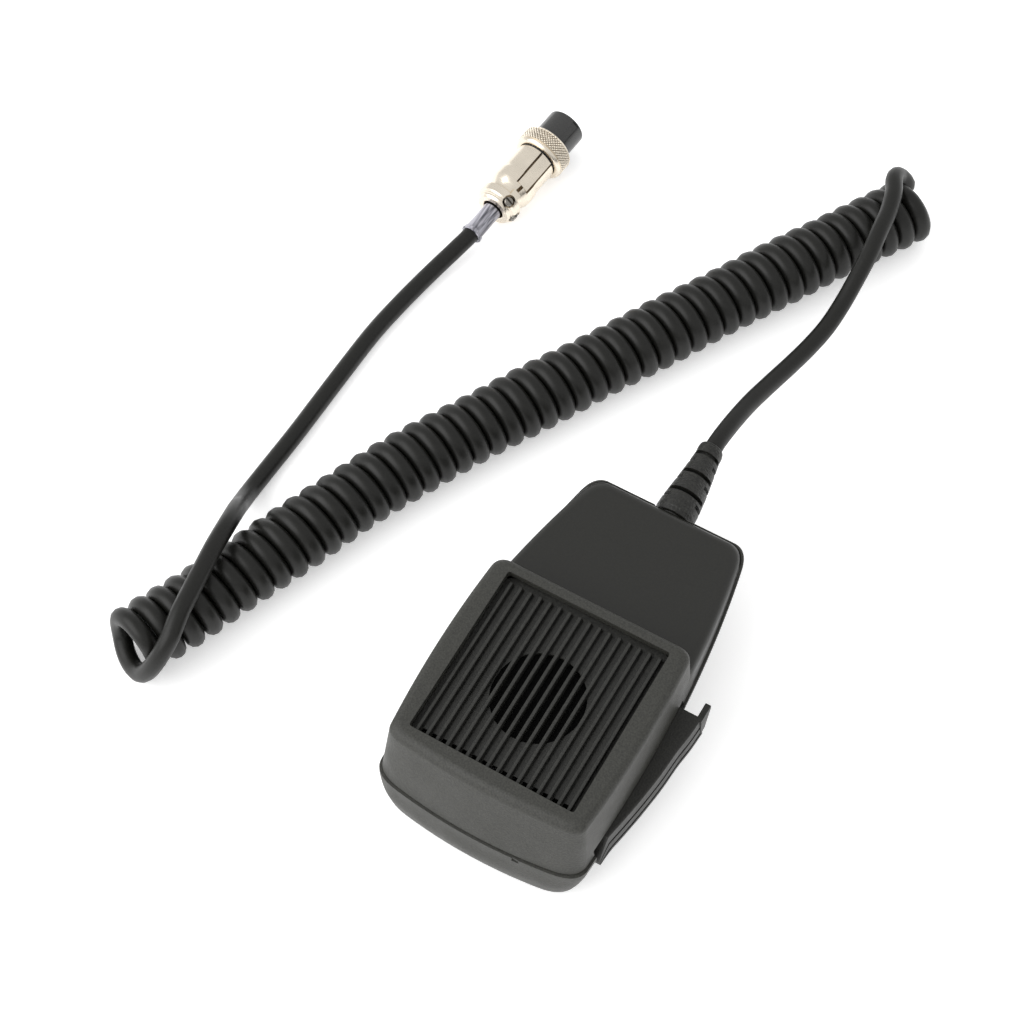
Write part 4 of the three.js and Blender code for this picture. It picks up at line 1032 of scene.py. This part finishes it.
def plug_collar():
    """The clamp collar with its tab, sunk holes and two slotted screws."""
    profile = [(3.2, 30.5), (5.9, 30.5), (6.3, 30.9), (6.3, 33.2), (5.9, 33.6)]
    profile += [(5.75, 33.7), (5.75, 33.95), (5.6, 34.05), (5.45, 34.1), (5.4, 34.5)]
    profile += [(5.0, 34.9), (4.9, 35.2), (3.4, 35.2), (3.2, 35.0)]
    body = turned(profile, 128)
    tab = at_key(block((-1.3, 1.3), (5.5, 6.7), (29.3, 32.0)))
    body = carved(body, [tab], "UNION")
    holes = [along_radius(cylinder(1.75, 3.9, 8, 32), angle) for angle in SCREW_ANGLES]
    piece("plug_clamp", carved(body, holes), "nickel", PLUG, stands_for=["plug_collar"], soften=0.1)
    screw = [(0, 3.4), (0.7, 3.4), (0.7, 4.9), (1.35, 4.9), (1.35, 6.1), (1.1, 6.35), (0, 6.4)]
    for i, angle in enumerate(SCREW_ANGLES):
        head = turned(rounded(screw, 0.12), 32)
        made = along_radius(carved(head, [block((-0.3, 0.3), (-2, 2), (5.6, 8))]), angle)
        bolt = piece(f"clamp_bolt_{i + 1}", made, "steel", PLUG, stands_for=[f"plug_screw_{i + 1}"])
        # The bolts are dark steel, made darker still as painted shade of the holes round their heads.
        bolt.data.materials[0] = DARK_STEEL_AND_SHADE


def plug_sleeve():
    """The clear sleeve round the cord, flared at the end away from the plug."""
    profile = [(2.42, 35.5), (2.68, 35.5), (2.62, 39), (2.66, 44)]
    profile += [(2.8, 44.3), (3.08, 44.4), (3.1, 45.2), (2.42, 45.3)]
    piece("sleeve_tube", turned(profile, 64), "sleeve", PLUG, stands_for=["plug_sleeve"])


# ---------------------------------------------------------------------------------------------
# Cord. Its points are the CAD route's, in millimetres on the table, before the shift to the origin.

LEAD_ROUTE = [
    (-0.5, 82.6, 19.75),
    (-0.6, 84.6, 19.9),
    (-0.7, 86.6, 20),
    (-0.6, 94.6, 18.7),
    (-0.2, 105, 15.9),
    (1, 115.3, 13.4),
    (2.5, 124.3, 12),
    (3.9, 132.2, 11.6),
    (5, 139.8, 12.1),
    (5.5, 146.8, 13.8),
    (5.7, 154.8, 16.8),
    (5.6, 162, 19.3),
    (4.9, 168.8, 20.7),
    (4, 176.4, 21),
    (2.4, 182.8, 21),
    (0.2, 188.2, 20),
    (0, 192, 17.4),
]
COIL_ROUTE = [
    (-98.9, -30.6),
    (-93.5, -18.6),
    (-82, 12.5),
    (-69.8, 44.6),
    (-39.8, 104.1),
    (-7.2, 166),
    (3.4, 185),
    (6.9, 191.4),
]
TAIL_ROUTE = [
    (-104.3, -28.7, 5),
    (-101.3, -31.6, 2.6),
    (-97.4, -34, 2.8),
    (-93.9, -35.2, 4.8),
    (-91, -35, 9),
    (-88.7, -32.9, 14.3),
    (-87.7, -28.9, 18.6),
    (-88.6, -23.1, 20.8),
    (-89.7, -16.8, 21.1),
    (-90.9, -10, 21.1),
    (-92.2, -3, 20.8),
    (-93.7, 4.4, 19.2),
    (-96.2, 11, 14.6),
    (-99.2, 16.6, 8),
    (-101.2, 22.6, 3.6),
    (-101.6, 31.1, 2.5),
    (-101.4, 43.7, 2.5),
    (-101.5, 56.7, 2.5),
    (-101.6, 69.9, 2.5),
    (-101.5, 83.3, 2.5),
    (-100.5, 94.9, 2.6),
    (-98.7, 107.3, 3.1),
    (-96.4, 117.2, 4.6),
    (-95.2, 122.6, 5.45),
    (-94.5, 129.4, 6),
    (-94.1, 134.2, 6.3),
]
COIL_Z, COIL_RADIUS = 9.05, 9.0
COIL_TURNS, TURN_POINTS = 47.1, 22
# The curl's radius grows and shrinks by WANDER once in every WANDER_TURNS turns.
WANDER, WANDER_TURNS = 0.12, 7.3
# The strand is COIL_SWELL times as thick in the curl, from COIL_BLEND points of the helix inside
# either end, after growing over SWELL_POINTS points of the path.
COIL_SWELL, COIL_BLEND, SWELL_POINTS = 1.07, 10, 20
FLOOR_CLEARANCE = 0.02
# The spacing of points along the coil's axis and along the finished path, and how many steps a
# smooth curve takes between two given points.
AXIS_STEP, PATH_STEP, CURVE_STEPS = 0.25, 0.9, 40


def smooth_curve(points, step):
    """Points every step along a centripetal Catmull-Rom curve through the given ones."""
    route = np.array(points, float)
    route = np.vstack([2 * route[0] - route[1], route, 2 * route[-1] - route[-2]])
    knots = np.concatenate([[0], np.cumsum(np.linalg.norm(np.diff(route, axis=0), axis=1) ** 0.5)])
    dense = []
    for i in range(1, len(route) - 2):
        t0, t1, t2, t3 = knots[i - 1 : i + 3]
        p0, p1, p2, p3 = route[i - 1 : i + 3]
        for t in np.linspace(t1, t2, CURVE_STEPS, endpoint=False):
            a1 = ((t1 - t) * p0 + (t - t0) * p1) / (t1 - t0)
            a2 = ((t2 - t) * p1 + (t - t1) * p2) / (t2 - t1)
            a3 = ((t3 - t) * p2 + (t - t2) * p3) / (t3 - t2)
            b1 = ((t2 - t) * a1 + (t - t0) * a2) / (t2 - t0)
            b2 = ((t3 - t) * a2 + (t - t1) * a3) / (t3 - t1)
            dense.append(((t2 - t) * b1 + (t - t1) * b2) / (t2 - t1))
    dense.append(route[-2])
    dense = np.array(dense)
    along = np.concatenate([[0], np.cumsum(np.linalg.norm(np.diff(dense, axis=0), axis=1))])
    wanted = np.linspace(0, along[-1], max(2, round(along[-1] / step)))
    return np.column_stack([np.interp(wanted, along, dense[:, k]) for k in range(3)])


def curl():
    """The helix, from the lead's end of the curl to the tail's end."""
    axis = smooth_curve([(x, y, COIL_Z) for x, y in COIL_ROUTE], AXIS_STEP)
    tangent = np.gradient(axis, axis=0)
    tangent /= np.linalg.norm(tangent, axis=1, keepdims=True)
    right = np.column_stack([tangent[:, 1], -tangent[:, 0], np.zeros(len(axis))])
    count = round(COIL_TURNS * TURN_POINTS)
    where = np.linspace(0, len(axis) - 1, count)
    angle = np.linspace(0, 2 * math.pi * COIL_TURNS, count)
    radius = COIL_RADIUS - CORD_RADIUS + WANDER * np.sin(angle / WANDER_TURNS)
    middle = np.column_stack([np.interp(where, range(len(axis)), axis[:, k]) for k in range(3)])
    side = np.column_stack([np.interp(where, range(len(axis)), right[:, k]) for k in range(3)])
    points = middle - side * (radius * np.cos(angle))[:, None]
    lowest = CORD_RADIUS * COIL_SWELL + FLOOR_CLEARANCE
    points[:, 2] = np.maximum(points[:, 2] + radius * np.sin(angle), lowest)
    return points[::-1]


def add_cord():
    """The whole cord, from the boot through the curl to the plug, as one swept curve."""
    helix = curl()
    whole = smooth_curve([*LEAD_ROUTE, *helix[::2], *TAIL_ROUTE], PATH_STEP)
    path = (whole + np.array(TABLE_SHIFT)) * MM
    data = bpy.data.curves.new("cord", "CURVE")
    data.dimensions = "3D"
    data.bevel_depth = CORD_RADIUS * MM
    data.bevel_resolution = 4
    data.use_fill_caps = True
    spline = data.splines.new("POLY")
    spline.points.add(len(path) - 1)
    spline.points.foreach_set("co", np.column_stack([path, np.ones(len(path))]).ravel())
    spline.use_smooth = True
    start, stop = (
        int(np.argmin(np.linalg.norm(whole - helix[i], axis=1))) for i in (COIL_BLEND, -COIL_BLEND)
    )
    corners = [start - SWELL_POINTS, start, stop, stop + SWELL_POINTS]
    swell = np.interp(np.arange(len(path)), corners, [1, COIL_SWELL, COIL_SWELL, 1])
    spline.points.foreach_set("radius", swell)
    data.materials.append(MATERIALS["cord"])
    cord = bpy.data.objects.new("curly_cord", data)
    bpy.context.scene.collection.objects.link(cord)
    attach(cord, "handset")
    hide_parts("cord_lead", "cord_coil", "cord_tail")
    plug_names = ["sleeve_tube", "plug_clamp", "clamp_bolt_1", "clamp_bolt_2", "plug_barrel"]
    plug_names += ["coupling_grip", "plug_nose"] + [f"plug_contact_{i + 1}" for i in range(4)]


add_camera()
plug_insert()
knurled_ring()
plug_body()
plug_collar()
plug_sleeve()
add_cord()
front_shell()
rear_shell()
grille()
ptt_bar()
return_spring()
strain_relief()
hang_button()
case_screws()
dress_frame()
add_stage()
